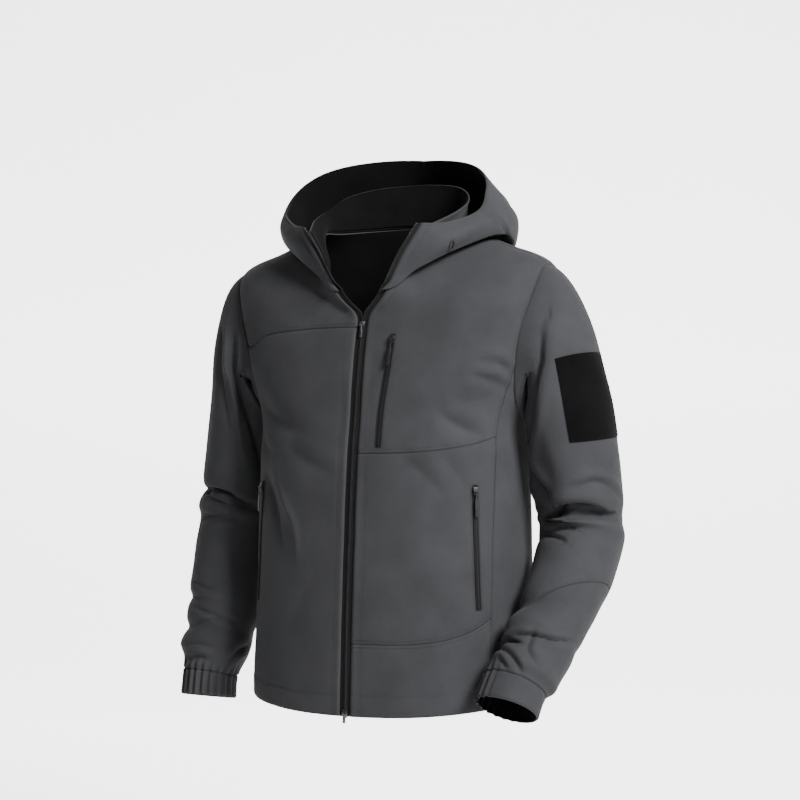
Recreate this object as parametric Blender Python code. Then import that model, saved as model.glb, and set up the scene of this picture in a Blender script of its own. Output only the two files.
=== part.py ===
"""Hooded softshell windbreaker, hollow, in the form and pose it has when worn with its zip part open.

Scene in metres, +Z up, front towards -Y, the wearer's left towards +X. Sizes below are in millimetres.
The origin is the middle of the neck at the height of the shoulders, where a wearer carries the jacket.
"""
import math
from collections import namedtuple

import bmesh
import bpy
import numpy as np
from mathutils import Matrix, Vector

MM = 0.001

# Cloth and seams
CLOTH = 1.6
LINING = 1.0
SEAM_GAP = 0.3
PIECE_GAP = 0.4

# Body rings from the hem to the neck: half width, depth in front and behind, height in front, at the side
# and behind, and how square the ring is (2 is an ellipse).
Ring = namedtuple("Ring", "name half_width front back z_front z_side z_back square")
BODY_RINGS = (
    Ring("hem", 203, 151, 112, -637, -622, -628, 2.4),
    Ring("hip", 200, 147, 110, -516, -516, -516, 2.4),
    Ring("waist", 197, 139, 108, -392, -392, -392, 2.4),
    Ring("chest", 197, 131, 114, -292, -292, -290, 2.4),
    Ring("armpit", 197, 122, 120, -228, -236, -215, 2.4),
    Ring("armhole", 226, 113, 118, -165, -134, -138, 2.4),
    Ring("shoulder", 240, 101, 104, -108, -36, -66, 2.35),
    Ring("mid_shoulder", 170, 97, 92, -82, 0, -14, 2.2),
    Ring("neck", 105, 92, 75, -60, 24, 32, 2.0),
)
HEM_LEVEL = 0.0
NECK_LEVEL = len(BODY_RINGS) - 1.0

# The armhole is an ellipse in turn (degrees from the front middle) and ring level.
ARMHOLE_LEVEL = 5.05
ARMHOLE_HALF_LEVEL = 1.05
ARMHOLE_TURN = 90.0
ARMHOLE_HALF_TURN = 24.5
ARMHOLE_LEAN = 3.5
ARMHOLE_STEPS = 10
SHOULDER_TURN = ARMHOLE_TURN - ARMHOLE_LEAN
SIDE_FRONT_STEP = 6
SIDE_BACK_STEP = 8
YOKE_STEP = 5
SIDE_FRONT_HEM_TURN = 62.0
SIDE_BACK_HEM_TURN = 105.0
FRONT_COLUMNS = 9
BACK_COLUMNS = 16

# Front zip and the open neck above its slider
ZIP_HALF = 6.2
SLIDER_LEVEL = 6.0
OPEN_SIDEWAYS = 32.0
OPEN_FORWARD = 12.0
OPEN_TURN = 45.0
TAPE_WIDTH = 5.0
TAPE_THICK = 1.0
TAPE_SINK = 2.4
TAPE_STEPS = 34
TAPE_BODY_SHARE = 0.87
TAPE_HOOD_START = 0.17

# Cross seams: height in the front middle, rise towards the side over the given turn, and the curve's power
CrossSeam = namedtuple("CrossSeam", "middle rise turn power")
CHEST_SEAM = CrossSeam(-285, 22, 65, 2.2)
LOWER_SEAM = CrossSeam(-540, 30, 60, 3.0)
YOKE_SEAM = CrossSeam(-114, -26, 65, 2.0)

# Sleeve sections from below the shoulder to the end of the cuff: middle of the arm, then the half sizes
# towards the outside, the body, the front and the back.
Section = namedtuple("Section", "x y z outer inner front back")
LEFT_SECTIONS = (
    Section(240, 12, -172, 61, 36, 68, 68),
    Section(251, 20, -240, 62, 47, 72, 66),
    Section(259, 32, -320, 62, 54, 66, 60),
    Section(264, 38, -385, 60, 56, 60, 62),
    Section(261, 16, -440, 56, 55, 56, 62),
    Section(251, -32, -500, 52, 47, 51, 53),
    Section(239, -76, -554, 51, 46, 45, 46),
    Section(229, -105, -588, 46, 44, 37, 37),
    Section(225, -125, -617, 46, 44, 36, 36),
)
RIGHT_SECTIONS = (
    Section(238, 14, -172, 60, 32, 67, 67),
    Section(247, 20, -240, 58, 43, 66, 64),
    Section(261, 24, -320, 58, 55, 62, 60),
    Section(270, 25, -385, 56, 56, 58, 60),
    Section(272, 8, -445, 55, 54, 55, 58),
    Section(273, -9, -505, 53, 53, 52, 53),
    Section(279, -21, -562, 49, 48, 49, 50),
    Section(284, -31, -606, 37, 37, 45, 45),
    Section(284, -37, -640, 37, 37, 45, 45),
)
FOREARM_SEAM = 4.78
FOREARM_TILT = 0.6
FOREARM_LOW = 0.426
CUFF_SEAM = 7.0
CUFF_END = 8.0
LEFT_CAP_REACH = 118.0
RIGHT_CAP_REACH = 120.0
CAP_LOW_REACH, CAP_LOW_DROP, CAP_DROP = 16.0, 10.0, 0.4
CAP_ARRIVE_LOW, CAP_ARRIVE_TOP = 0.3, 1.5
CAP_STEPS = 6
SLEEVE_STEPS = 13
FOREARM_STEPS = 11
CUFF_STEPS = 3
CUFF_COLUMNS = 48

# Large sleeve folds: place along the sections and around the arm (0 outside, 0.25 front, 0.5 body, 0.75
# back), half lengths along and around, how far it slants along in one turn, and its height, below 0 for a
# trough.
Fold = namedtuple("Fold", "along around long_half round_half slant height")
LEFT_FOLDS = (
    Fold(2.55, 0.22, 0.13, 0.20, -1.2, -9),
    Fold(2.95, 0.20, 0.16, 0.22, -0.8, 5),
    Fold(1.95, 0.30, 0.60, 0.05, 0.0, -6),
    Fold(3.35, 0.30, 0.16, 0.12, 1.4, -6),
    Fold(5.15, 0.30, 0.16, 0.20, 0.6, -6),
    Fold(5.55, 0.28, 0.20, 0.22, 0.4, 4),
    Fold(6.10, 0.34, 0.15, 0.18, 0.9, -6),
    Fold(6.55, 0.05, 0.25, 0.35, 0.0, 4),
    Fold(2.70, 0.75, 0.20, 0.20, 0.8, -6),
    Fold(5.60, 0.78, 0.18, 0.20, -0.6, -5),
)
RIGHT_FOLDS = (
    Fold(2.45, 0.15, 0.13, 0.22, 0.9, -8),
    Fold(2.85, 0.16, 0.18, 0.22, 0.5, 5),
    Fold(1.30, 0.30, 0.60, 0.05, 1.0, -5),
    Fold(5.05, 0.12, 0.15, 0.18, 0.4, -5),
    Fold(5.75, 0.14, 0.16, 0.20, -0.5, -6),
    Fold(6.30, 0.12, 0.22, 0.30, 0.0, 5),
    Fold(2.70, 0.70, 0.20, 0.20, -0.8, -6),
    Fold(5.70, 0.72, 0.18, 0.22, 0.5, -5),
)

# Cuff gathers: number round the cuff, height, and the stretch around (of the whole) that is gathered
Gather = namedtuple("Gather", "count height start end")
LEFT_GATHER = Gather(11, 2.2, 0.28, 0.78)
RIGHT_GATHER = Gather(15, 2.2, -0.04, 0.62)

# Hood sections from the front edge to the middle behind: turn on the neck ring, then the low fold that
# overhangs the shoulder, the fullest place and the rim.
HoodSection = namedtuple("HoodSection", "turn fold belly rim")
HOOD_SECTIONS = (
    HoodSection(1, (45, -106, -52), (67, -108, -14), (92, -103, 24)),
    HoodSection(34, (101, -86, -24), (113, -91, 2), (119, -78, 28)),
    HoodSection(64, (149, -46, 2), (156, -47, 24), (146, -41, 45)),
    HoodSection(90, (166, -2, 14), (168, 2, 32), (144, -8, 74)),
    HoodSection(115, (153, 60, 2), (156, 62, 42), (122, 30, 104)),
    HoodSection(146, (94, 126, -58), (106, 126, 14), (74, 66, 124)),
    HoodSection(180, (0, 158, -96), (0, 172, 0), (0, 90, 132)),
)
HOOD_LIFT = 4.2
HOOD_START = 7.75
HOOD_SEAT = 9.0
HOOD_SEAT_SHARE = 0.55
RIGHT_RIM_SHIFT = (14.0, 6.0, 12.0)
HOOD_COLUMNS = 14
HOOD_ROWS = 12

# Stand collar: turn on the neck ring and its top edge there
CollarSection = namedtuple("CollarSection", "turn top")
COLLAR_SECTIONS = (
    CollarSection(8, (90, -90, 20)),
    CollarSection(40, (108, -44, 38)),
    CollarSection(75, (110, 6, 58)),
    CollarSection(110, (94, 36, 78)),
    CollarSection(145, (58, 62, 90)),
    CollarSection(180, (0, 76, 94)),
)
COLLAR_COLUMNS = 13
COLLAR_ROWS = 4
COLLAR_LIFT = 1.6
COLLAR_BULGE = 3.0
COLLAR_LINING_START, COLLAR_LINING_END = 0.06, 0.98

# Pocket zips: half width of the visible tape, then the place of each end as turn and height
POCKET_TAPE_HALF = 3.6
POCKET_TAPE_THICK = 1.0
POCKET_TAPE_LIFT = 0.6
PocketZip = namedtuple("PocketZip", "top_turn top_z end_turn end_z")
CHEST_POCKET = PocketZip(8.7, -124, 8.4, -276)
HAND_POCKET = PocketZip(53.0, -326, 55.5, -492)
POCKET_STEPS = 10

# Sliders and pull tabs: length is along the zip
SLIDER_WIDTH, SLIDER_LENGTH, SLIDER_THICK = 8.0, 11.0, 2.2
SLIDER_LIFT = -1.9
MAIN_SLIDER_LEVEL, HEM_SLIDER_LEVEL = 5.93, 0.06
POCKET_SLIDER_SHARE = 0.05
EAR_GAP, EAR_HEIGHT, EAR_LENGTH = 3.2, 2.2, 3.0
HINGE_LIFT = 1.4
PULL_OVERHANG = 0.9
PULL_THICK = 1.4
PULL_WIDTH = 2.4
PULL_ROUND = 1.6
PullTab = namedtuple("PullTab", "length end_width")
MAIN_PULL = PullTab(17, 4.6)
HEM_PULL = PullTab(13, 4.2)
CHEST_PULL = PullTab(36, 5.0)
HAND_PULL = PullTab(34, 4.4)

# Sleeve patch: place and half size along the sections and around the arm, and how far its front edge is
# raised along the arm
PATCH_ALONG, PATCH_HALF_ALONG = 0.62, 0.77
PATCH_AROUND, PATCH_HALF_AROUND = 0.065, 0.115
PATCH_ROWS, PATCH_COLUMNS = 9, 7
PATCH_THICK = 1.0
PATCH_LIFT = 0.8
PATCH_RISE = 0.055

# Hood eyelet: place around and up the hood, half sizes
EYELET_ACROSS, EYELET_UP = 0.22, 0.56
EYELET_SEGMENTS = 16
EYELET_HALF_WIDTH, EYELET_HALF_HEIGHT, EYELET_BAND, EYELET_THICK = 4.0, 7.5, 2.2, 1.2
EYELET_LIFT = 1.2

# Colour (linear), roughness and metallic of each finish
FINISHES = {
    "softshell": ((0.085, 0.086, 0.094), 0.85, 0.0),
    "lining": ((0.008, 0.008, 0.008), 0.95, 0.0),
    "zip_tape": ((0.011, 0.011, 0.012), 0.8, 0.0),
    "patch": ((0.012, 0.012, 0.013), 0.95, 0.0),
    "zip_metal": ((0.10, 0.10, 0.105), 0.35, 1.0),
    "pull_rubber": ((0.03, 0.03, 0.032), 0.55, 0.0),
}


def mix(a, b, share):
    return a + (b - a) * share


def ease(value):
    """Smooth step from 0 to 1."""
    value = min(max(value, 0.0), 1.0)
    return value * value * (3 - 2 * value)


def unit(vector):
    return vector / np.linalg.norm(vector)


def curve(start, leave, end, arrive, t):
    """A point of the cubic curve with these ends and end directions."""
    first, second = 2 * t**3 - 3 * t**2 + 1, t**3 - 2 * t**2 + t
    return first * start + second * leave + (1 - first) * end + (t**3 - t**2) * arrive


def smooth_row(table, at):
    """The table's row of numbers at a place between rows, on a smooth curve through all of them."""
    last = len(table) - 1
    k = int(min(max(math.floor(at), 0), last - 1))
    t = at - k
    rows = [np.asarray(table[min(max(i, 0), last)], float) for i in (k - 1, k, k + 1, k + 2)]
    return curve(rows[1], (rows[2] - rows[0]) / 2, rows[2], (rows[3] - rows[1]) / 2, t)


def smooth_path(stops, share):
    """The point at a share of the length of a smooth curve through the stops."""
    last = len(stops) - 1
    lengths = np.cumsum([0.0] + [np.linalg.norm(b - a) for a, b in zip(stops, stops[1:])])
    at = share * lengths[-1]
    k = min(max(int(np.searchsorted(lengths, at, side="right")) - 1, 0), last - 1)
    slopes = []
    for i in (k, k + 1):
        low, high = max(i - 1, 0), min(i + 1, last)
        slopes.append((stops[high] - stops[low]) / (lengths[high] - lengths[low]))
    span = lengths[k + 1] - lengths[k]
    return curve(stops[k], slopes[0] * span, stops[k + 1], slopes[1] * span, (at - lengths[k]) / span)


def normal_of(surface, u, v, step_u, step_v, u_range, v_range):
    """Unit normal of surface(u, v), from short steps kept inside its range."""
    low_u, high_u = max(u - step_u, u_range[0]), min(u + step_u, u_range[1])
    low_v, high_v = max(v - step_v, v_range[0]), min(v + step_v, v_range[1])
    along_u = surface(high_u, v) - surface(low_u, v)
    along_v = surface(u, high_v) - surface(u, low_v)
    return unit(np.cross(along_u, along_v))


RING_NUMBERS = [ring[1:] for ring in BODY_RINGS]


def power(value, exponent):
    return math.copysign(abs(value) ** exponent, value)


def front_open(turn, level):
    """How far the open neck has spread here, from 0 to 1."""
    if level <= SLIDER_LEVEL or turn >= OPEN_TURN:
        return 0.0
    rise = ease((level - SLIDER_LEVEL) / (NECK_LEVEL - SLIDER_LEVEL))
    return rise * math.cos(math.radians(90 * turn / OPEN_TURN)) ** 2


def body(turn, level):
    """A point of the body on the wearer's left: turn in degrees from the front middle to 180 behind.
    Beyond 180 it comes round on the right."""
    half_width, front, back, z_front, z_side, z_back, square = smooth_row(RING_NUMBERS, level)
    sine, cosine = math.sin(math.radians(turn)), math.cos(math.radians(turn))
    x = half_width * power(sine, 2 / square)
    y = -(front if cosine > 0 else back) * power(cosine, 2 / square)
    z = z_side + ((z_front if cosine > 0 else z_back) - z_side) * cosine**2
    spread = front_open(turn, level)
    return np.array((x + OPEN_SIDEWAYS * spread, y - OPEN_FORWARD * spread, z))


def body_normal(turn, level):
    return normal_of(body, turn, level, 0.6, 0.02, (0.3, 359.7), (HEM_LEVEL, NECK_LEVEL))


def level_at(turn, height):
    """The ring level at which the body reaches a height on one turn."""
    low, high = HEM_LEVEL, NECK_LEVEL
    for _ in range(40):
        middle = (low + high) / 2
        if body(turn, middle)[2] < height:
            low = middle
        else:
            high = middle
    return (low + high) / 2


def armhole_place(step):
    """Turn and level of one step down the armhole, 0 at the shoulder and ARMHOLE_STEPS at the armpit.
    Steps below 0 go down the back."""
    angle = math.pi * step / ARMHOLE_STEPS
    turn = ARMHOLE_TURN - ARMHOLE_LEAN * math.cos(angle) - ARMHOLE_HALF_TURN * math.sin(angle)
    return turn, ARMHOLE_LEVEL + ARMHOLE_HALF_LEVEL * math.cos(angle)


def armhole_edge(level, sign):
    """Turn of the armhole's front (sign 1) or back (sign -1) edge at a level."""
    c = min(max((level - ARMHOLE_LEVEL) / ARMHOLE_HALF_LEVEL, -1.0), 1.0)
    return ARMHOLE_TURN - ARMHOLE_LEAN * c - sign * ARMHOLE_HALF_TURN * math.sqrt(1 - c * c)


def upright_edge(level, hem_turn, step, sign):
    """Side seam up to its step of the armhole, then the armhole, then the shoulder seam."""
    top_turn, top_level = armhole_place(sign * step)
    if level < top_level:
        return mix(hem_turn, top_turn, level / top_level)
    if level < ARMHOLE_LEVEL + ARMHOLE_HALF_LEVEL:
        return armhole_edge(level, sign)
    return SHOULDER_TURN


def side_front_edge(level):
    return upright_edge(level, SIDE_FRONT_HEM_TURN, SIDE_FRONT_STEP, 1)


def side_back_edge(level):
    return upright_edge(level, SIDE_BACK_HEM_TURN, SIDE_BACK_STEP, -1)


def zip_edge(level):
    half_width, square = smooth_row(RING_NUMBERS, level)[[0, -1]]
    return math.degrees(math.asin((ZIP_HALF / half_width) ** (square / 2)))


def seam_level(seam, share):
    """Ring level of a cross seam at a share of the way from the zip to the side."""
    level = level_at(0, seam.middle)
    for _ in range(12):
        turn = mix(zip_edge(level), side_front_edge(level), share)
        level = level_at(turn, seam.middle + seam.rise * (turn / seam.turn) ** seam.power)
    return level


def levels_between(low, high, stops):
    """Levels from low to high with about even steps, passing each stop between them."""
    marks = [low] + [stop for stop in stops if low + 0.02 < stop < high - 0.02] + [high]
    levels = [low]
    for a, b in zip(marks, marks[1:]):
        count = max(1, round((b - a) / 0.5))
        levels += [mix(a, b, (k + 1) / count) for k in range(count)]
    return levels


ARMHOLE_LEVELS = sorted(armhole_place(step)[1] for step in range(ARMHOLE_STEPS + 1))


def side_levels():
    """Ring levels of the rows along a side seam's front edge, from the hem to the armhole."""
    seams = [seam_level(LOWER_SEAM, 1.0), seam_level(CHEST_SEAM, 1.0)]
    return levels_between(HEM_LEVEL, armhole_place(SIDE_FRONT_STEP)[1], seams)


SIDE_LEVELS = side_levels()


def mirror(points):
    return points * np.array((-1, 1, 1))


def trim(points, sides):
    """Draw the named edges of a grid back by half a seam gap."""
    rows = {"low": (0, 1), "high": (-1, -2)}
    for side in sides:
        if side in rows:
            edge, inside = rows[side]
            step = points[inside] - points[edge]
            points[edge] += step / np.linalg.norm(step, axis=1, keepdims=True) * SEAM_GAP / 2
        else:
            edge, inside = (0, 1) if side == "first" else (-1, -2)
            step = points[:, inside] - points[:, edge]
            points[:, edge] += step / np.linalg.norm(step, axis=1, keepdims=True) * SEAM_GAP / 2
    return points


def front_grid(low, high, columns):
    """Points and normals of a front panel between two cross levels, given as functions of the share across.
    Its rows follow those of the side seam and the armhole."""
    outer_low, outer_high = low(1.0), high(1.0)
    stops = SIDE_LEVELS + [level for level in ARMHOLE_LEVELS if level > SIDE_LEVELS[-1] + 0.02]
    levels = levels_between(outer_low, outer_high, stops)
    shares = [(level - outer_low) / (outer_high - outer_low) for level in levels]
    points = np.zeros((len(shares), columns + 1, 3))
    normals = np.zeros_like(points)
    for column in range(columns + 1):
        across = column / columns
        start, end = low(across), high(across)
        for row, share in enumerate(shares):
            level = mix(start, end, share)
            turn = mix(zip_edge(level), side_front_edge(level), across)
            points[row, column] = body(turn, level)
            normals[row, column] = body_normal(turn, level)
    return points, normals


def side_grid():
    """Points and normals of a side panel, whose top is the foot of the armhole."""
    steps = list(range(SIDE_FRONT_STEP, ARMHOLE_STEPS + 1))
    steps += [2 * ARMHOLE_STEPS - k for k in range(ARMHOLE_STEPS - 1, SIDE_BACK_STEP - 1, -1)]
    columns = len(steps) - 1
    points = np.zeros((len(SIDE_LEVELS), columns + 1, 3))
    normals = np.zeros_like(points)
    for column, step in enumerate(steps):
        top_turn, top_level = armhole_place(step)
        hem_turn = mix(SIDE_FRONT_HEM_TURN, SIDE_BACK_HEM_TURN, column / columns)
        for row, share in enumerate(np.array(SIDE_LEVELS) / SIDE_LEVELS[-1]):
            level = top_level * share
            turn = mix(hem_turn, top_turn, share)
            points[row, column] = body(turn, level)
            normals[row, column] = body_normal(turn, level)
    return points, normals


def back_grid(columns):
    side_top = armhole_place(SIDE_BACK_STEP)[1]
    stops = [level * side_top / SIDE_LEVELS[-1] for level in SIDE_LEVELS]
    stops += [level for level in ARMHOLE_LEVELS if level > side_top + 0.02]
    levels = levels_between(HEM_LEVEL, NECK_LEVEL, stops)
    points = np.zeros((len(levels), columns + 1, 3))
    normals = np.zeros_like(points)
    for row, level in enumerate(levels):
        edge = side_back_edge(level)
        for column in range(columns + 1):
            turn = mix(edge, 360 - edge, column / columns)
            points[row, column] = body(turn, level)
            normals[row, column] = body_normal(turn, level)
    return points, normals


def sleeve_side(side):
    """Sections, folds and cuff gathers of one arm, with the wearer's left as side 1."""
    if side > 0:
        return LEFT_SECTIONS, LEFT_FOLDS, LEFT_GATHER
    return RIGHT_SECTIONS, RIGHT_FOLDS, RIGHT_GATHER


def arm_frame(sections, along):
    """Middle, direction, outward and forward unit vectors of the arm at a place along its sections."""
    middle = smooth_row(sections, along)[:3]
    direction = unit(smooth_row(sections, along + 0.05)[:3] - smooth_row(sections, along - 0.05)[:3])
    outward = np.array((1.0, 0, 0))
    outward = unit(outward - direction * np.dot(outward, direction))
    return middle, direction, outward, np.cross(direction, outward)


def plain_sleeve(side, around, along):
    """A point of the sleeve without its folds, built as if on the left."""
    sections = sleeve_side(side)[0]
    middle, _, outward, forward = arm_frame(sections, along)
    outer, inner, front, back = smooth_row(sections, along)[3:]
    cosine, sine = math.cos(2 * math.pi * around), math.sin(2 * math.pi * around)
    reach_out = cosine * (outer if cosine > 0 else inner)
    reach_on = sine * (front if sine > 0 else back)
    return middle + outward * reach_out + forward * reach_on


def fold_height(folds, around, along):
    """How far the folds push the cloth out at this place."""
    total = 0.0
    for fold in folds:
        turn = (around - fold.around + 0.5) % 1.0 - 0.5
        offset = along - fold.along - fold.slant * turn
        total += fold.height * math.exp(-(offset / fold.long_half) ** 2 - (turn / fold.round_half) ** 2)
    return total


def sleeve(side, around, along):
    """A point of the sleeve below its cap, with its folds and the cuff's gathers."""
    _, folds, gather = sleeve_side(side)
    point = plain_sleeve(side, around, along)
    middle = arm_frame(sleeve_side(side)[0], along)[0]
    out = unit(point - middle)
    height = fold_height(folds, around, along) if along < CUFF_SEAM else 0.0
    fade = 1 - ease((along - CUFF_SEAM + 0.5) / 0.5)
    place = (around - gather.start) % 1.0 / (gather.end - gather.start)
    if place < 1.0 and along > CUFF_SEAM - 0.5:
        swell = gather.height * math.sin(math.pi * place) ** 0.5
        height = height * fade + swell * (1 - fade) * math.cos(2 * math.pi * gather.count * place)
    else:
        height *= fade
    return point + out * height


def sleeve_normal(side, around, along):
    step = 0.03
    along_arm = sleeve(side, around, along + step) - sleeve(side, around, along - step)
    round_arm = sleeve(side, around + 0.01, along) - sleeve(side, around - 0.01, along)
    return unit(np.cross(round_arm, along_arm))


def sleeve_cap(side, around, share):
    """The sleeve from the armhole (share 0) to its first section (share 1), one smooth curve per column."""
    step = 2 * ARMHOLE_STEPS * around
    start = body(*armhole_place(step)) + np.array((PIECE_GAP, 0, 0))
    end = sleeve(side, around, 0)
    top = (1 + math.cos(2 * math.pi * around)) / 2
    reach = LEFT_CAP_REACH if side > 0 else RIGHT_CAP_REACH
    leave = np.array((mix(CAP_LOW_REACH, reach, top), 0, -mix(CAP_LOW_DROP, CAP_DROP * reach, top)))
    slope = (sleeve(side, around, 0.05) - sleeve(side, around, -0.05)) * 10
    arrive = slope * mix(CAP_ARRIVE_LOW, CAP_ARRIVE_TOP, top)
    return curve(start, leave, end, arrive, share)


def cap_normal(side, around, share):
    low, high = max(share - 0.04, 0.0), min(share + 0.04, 1.0)
    down = sleeve_cap(side, around, high) - sleeve_cap(side, around, low)
    round_arm = sleeve_cap(side, around + 0.01, share) - sleeve_cap(side, around - 0.01, share)
    normal = unit(np.cross(round_arm, down))
    if share == 0.0:
        normal = unit(normal * np.array((0, 1, 1)))
    return normal


def forearm_seam(around):
    """Place along the arm of the slanting seam below the elbow."""
    return FOREARM_SEAM + FOREARM_TILT * math.cos(2 * math.pi * (around - FOREARM_LOW))


def sleeve_grid(side):
    columns = 2 * ARMHOLE_STEPS
    points, normals = [], []
    for row in range(CAP_STEPS):
        share = row / CAP_STEPS
        points.append([sleeve_cap(side, k / columns, share) for k in range(columns)])
        normals.append([cap_normal(side, k / columns, share) for k in range(columns)])
    for row in range(SLEEVE_STEPS + 1):
        share = row / SLEEVE_STEPS
        places = [(k / columns, forearm_seam(k / columns) * share) for k in range(columns)]
        points.append([sleeve(side, around, along) for around, along in places])
        normals.append([sleeve_normal(side, around, along) for around, along in places])
    return np.array(points), np.array(normals)


def arm_grid(side, start, end, steps, columns):
    """Points and normals of a stretch of the arm, whose start is a place along for each place around."""
    points, normals = [], []
    for row in range(steps + 1):
        places = [(k / columns, mix(start(k / columns), end, row / steps)) for k in range(columns)]
        points.append([sleeve(side, around, along) for around, along in places])
        normals.append([sleeve_normal(side, around, along) for around, along in places])
    return np.array(points), np.array(normals)


def cuff_seam(_):
    return CUFF_SEAM


# Each table goes one section past the middle behind, so that both halves meet smoothly there.
HOOD_TURNS = [[section.turn] for section in HOOD_SECTIONS]
HOOD_TURNS.append([360 - HOOD_SECTIONS[-2].turn])
HOOD_POINTS = [np.array((section.fold, section.belly, section.rim)) for section in HOOD_SECTIONS]
HOOD_POINTS.append(mirror(HOOD_POINTS[-2]))


def hood(across, up):
    """A point of the hood on the left: across from the front edge (0) to the middle behind (1), up from the
    neck seam (0) over the shoulder to the rim (1)."""
    if across > 1:
        share = up**2 * math.sin(math.pi * (2 - across))
        return mirror(hood(2 - across, up) + np.array(RIGHT_RIM_SHIFT) * share)
    place = across * (len(HOOD_SECTIONS) - 1)
    fold, belly, rim = smooth_row(HOOD_POINTS, place)
    turn = float(smooth_row(HOOD_TURNS, place)[0])
    normal = body_normal(turn, HOOD_START)
    seam = body(turn, HOOD_START) + normal * HOOD_LIFT
    seat = mix(seam, fold, HOOD_SEAT_SHARE) + normal * HOOD_SEAT * ease(2 * across - 0.3)
    return smooth_path((seam, seat, fold, belly, rim), up)


def hood_normal(across, up):
    return normal_of(hood, across, up, 0.01, 0.02, (0, 2), (0, 1))


def hood_grid(columns, rows, first, last, sink):
    """Points and normals of the hood between two places across, drawn in by a depth."""
    points = np.zeros((rows + 1, columns + 1, 3))
    normals = np.zeros_like(points)
    for row in range(rows + 1):
        for column in range(columns + 1):
            across, up = mix(first, last, column / columns), row / rows
            normals[row, column] = hood_normal(across, up)
            points[row, column] = hood(across, up) - normals[row, column] * sink
    return points, normals


COLLAR_TURNS = [[section.turn] for section in COLLAR_SECTIONS]
COLLAR_TURNS.append([360 - COLLAR_SECTIONS[-2].turn])
COLLAR_TOPS = [np.array(section.top) for section in COLLAR_SECTIONS]
COLLAR_TOPS.append(mirror(COLLAR_TOPS[-2]))


def collar(across, up):
    """A point of the stand collar: across from the left front (0) to the right front (2), up to its top."""
    if across > 1:
        return mirror(collar(2 - across, up))
    place = across * (len(COLLAR_SECTIONS) - 1)
    turn = float(smooth_row(COLLAR_TURNS, place)[0])
    base = body(turn, NECK_LEVEL) + np.array((0, 0, COLLAR_LIFT))
    top = smooth_row(COLLAR_TOPS, place)
    bulge = math.sin(math.pi * up) * COLLAR_BULGE
    lean = unit((top - base) * np.array((1, 1, 0)) + np.array((base[0], base[1], 0)) * 0.01)
    return mix(base, top, up) - lean * bulge


def collar_normal(across, up):
    return normal_of(collar, across, up, 0.01, 0.05, (0, 2), (0, 1))


def collar_grid(sink, low, high):
    columns = 2 * COLLAR_COLUMNS
    points = np.zeros((COLLAR_ROWS + 1, columns + 1, 3))
    normals = np.zeros_like(points)
    for row in range(COLLAR_ROWS + 1):
        for column in range(columns + 1):
            across, up = 2 * column / columns, mix(low, high, row / COLLAR_ROWS)
            normals[row, column] = collar_normal(across, up)
            points[row, column] = collar(across, up) - normals[row, column] * sink
    return points, normals


def finish(name):
    """The Principled material of one finish."""
    material = bpy.data.materials.get(name) or bpy.data.materials.new(name)
    colour, roughness, metallic = FINISHES[name]
    material.use_nodes = True
    shader = material.node_tree.nodes["Principled BSDF"]
    shader.inputs["Base Color"].default_value = (*colour, 1)
    shader.inputs["Roughness"].default_value = roughness
    shader.inputs["Metallic"].default_value = metallic
    return material


def add_object(name, bm, look, matrix=None):
    """Turn a bmesh into a named, smooth shaded object."""
    bmesh.ops.recalc_face_normals(bm, faces=bm.faces)
    mesh = bpy.data.meshes.new(name)
    bm.to_mesh(mesh)
    bm.free()
    mesh.shade_smooth()
    mesh.set_sharp_from_angle(angle=math.radians(40))
    mesh.materials.append(finish(look))
    item = bpy.data.objects.new(name, mesh)
    if matrix is not None:
        item.matrix_world = matrix
    bpy.context.scene.collection.objects.link(item)
    return item


def wall(name, points, normals, thick, look, ring=False):
    """A closed cloth wall: the outside in rows of points, the inside drawn in along the normals."""
    bm = bmesh.new()
    rows, columns = points.shape[:2]
    outside = [[bm.verts.new(point * MM) for point in row] for row in points]
    inside = [[bm.verts.new(point * MM) for point in row] for row in points - normals * thick]
    span = columns if ring else columns - 1
    for r in range(rows - 1):
        for c in range(span):
            d = (c + 1) % columns
            bm.faces.new((outside[r][c], outside[r][d], outside[r + 1][d], outside[r + 1][c]))
            bm.faces.new((inside[r][c], inside[r + 1][c], inside[r + 1][d], inside[r][d]))
    for r in (0, rows - 1):
        for c in range(span):
            d = (c + 1) % columns
            bm.faces.new((outside[r][c], outside[r][d], inside[r][d], inside[r][c]))
    for c in () if ring else (0, columns - 1):
        for r in range(rows - 1):
            bm.faces.new((outside[r][c], outside[r + 1][c], inside[r + 1][c], inside[r][c]))
    return add_object(name, bm, look)


def panel(name, grid, sides, right=False):
    """A body panel, drawn back at the named sides, on the right as a mirror image."""
    points, normals = grid
    points = trim(points, sides)
    if right:
        points, normals = mirror(points), mirror(normals)
    return wall(name, points, normals, CLOTH, "softshell")


def make_fronts():
    def hem(_):
        return HEM_LEVEL

    def neck(_):
        return NECK_LEVEL

    def chest(share):
        return seam_level(CHEST_SEAM, share)

    def lower(share):
        return seam_level(LOWER_SEAM, share)

    def yoke(share):
        return armhole_place(YOKE_STEP)[1] if share == 1.0 else seam_level(YOKE_SEAM, share)

    panel("front_left_chest", front_grid(chest, neck, FRONT_COLUMNS), ("low", "last"))
    panel("front_left_middle", front_grid(lower, chest, FRONT_COLUMNS), ("low", "high", "last"))
    panel("front_left_lower", front_grid(hem, lower, FRONT_COLUMNS), ("high", "last"))
    panel("front_right_yoke", front_grid(yoke, neck, FRONT_COLUMNS), ("low", "last"), right=True)
    panel("front_right_main", front_grid(hem, yoke, FRONT_COLUMNS), ("high", "last"), right=True)
    for name, right in (("side_left", False), ("side_right", True)):
        panel(name, side_grid(), ("first", "last"), right)
    panel("back", back_grid(BACK_COLUMNS), ("first", "last"))


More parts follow.
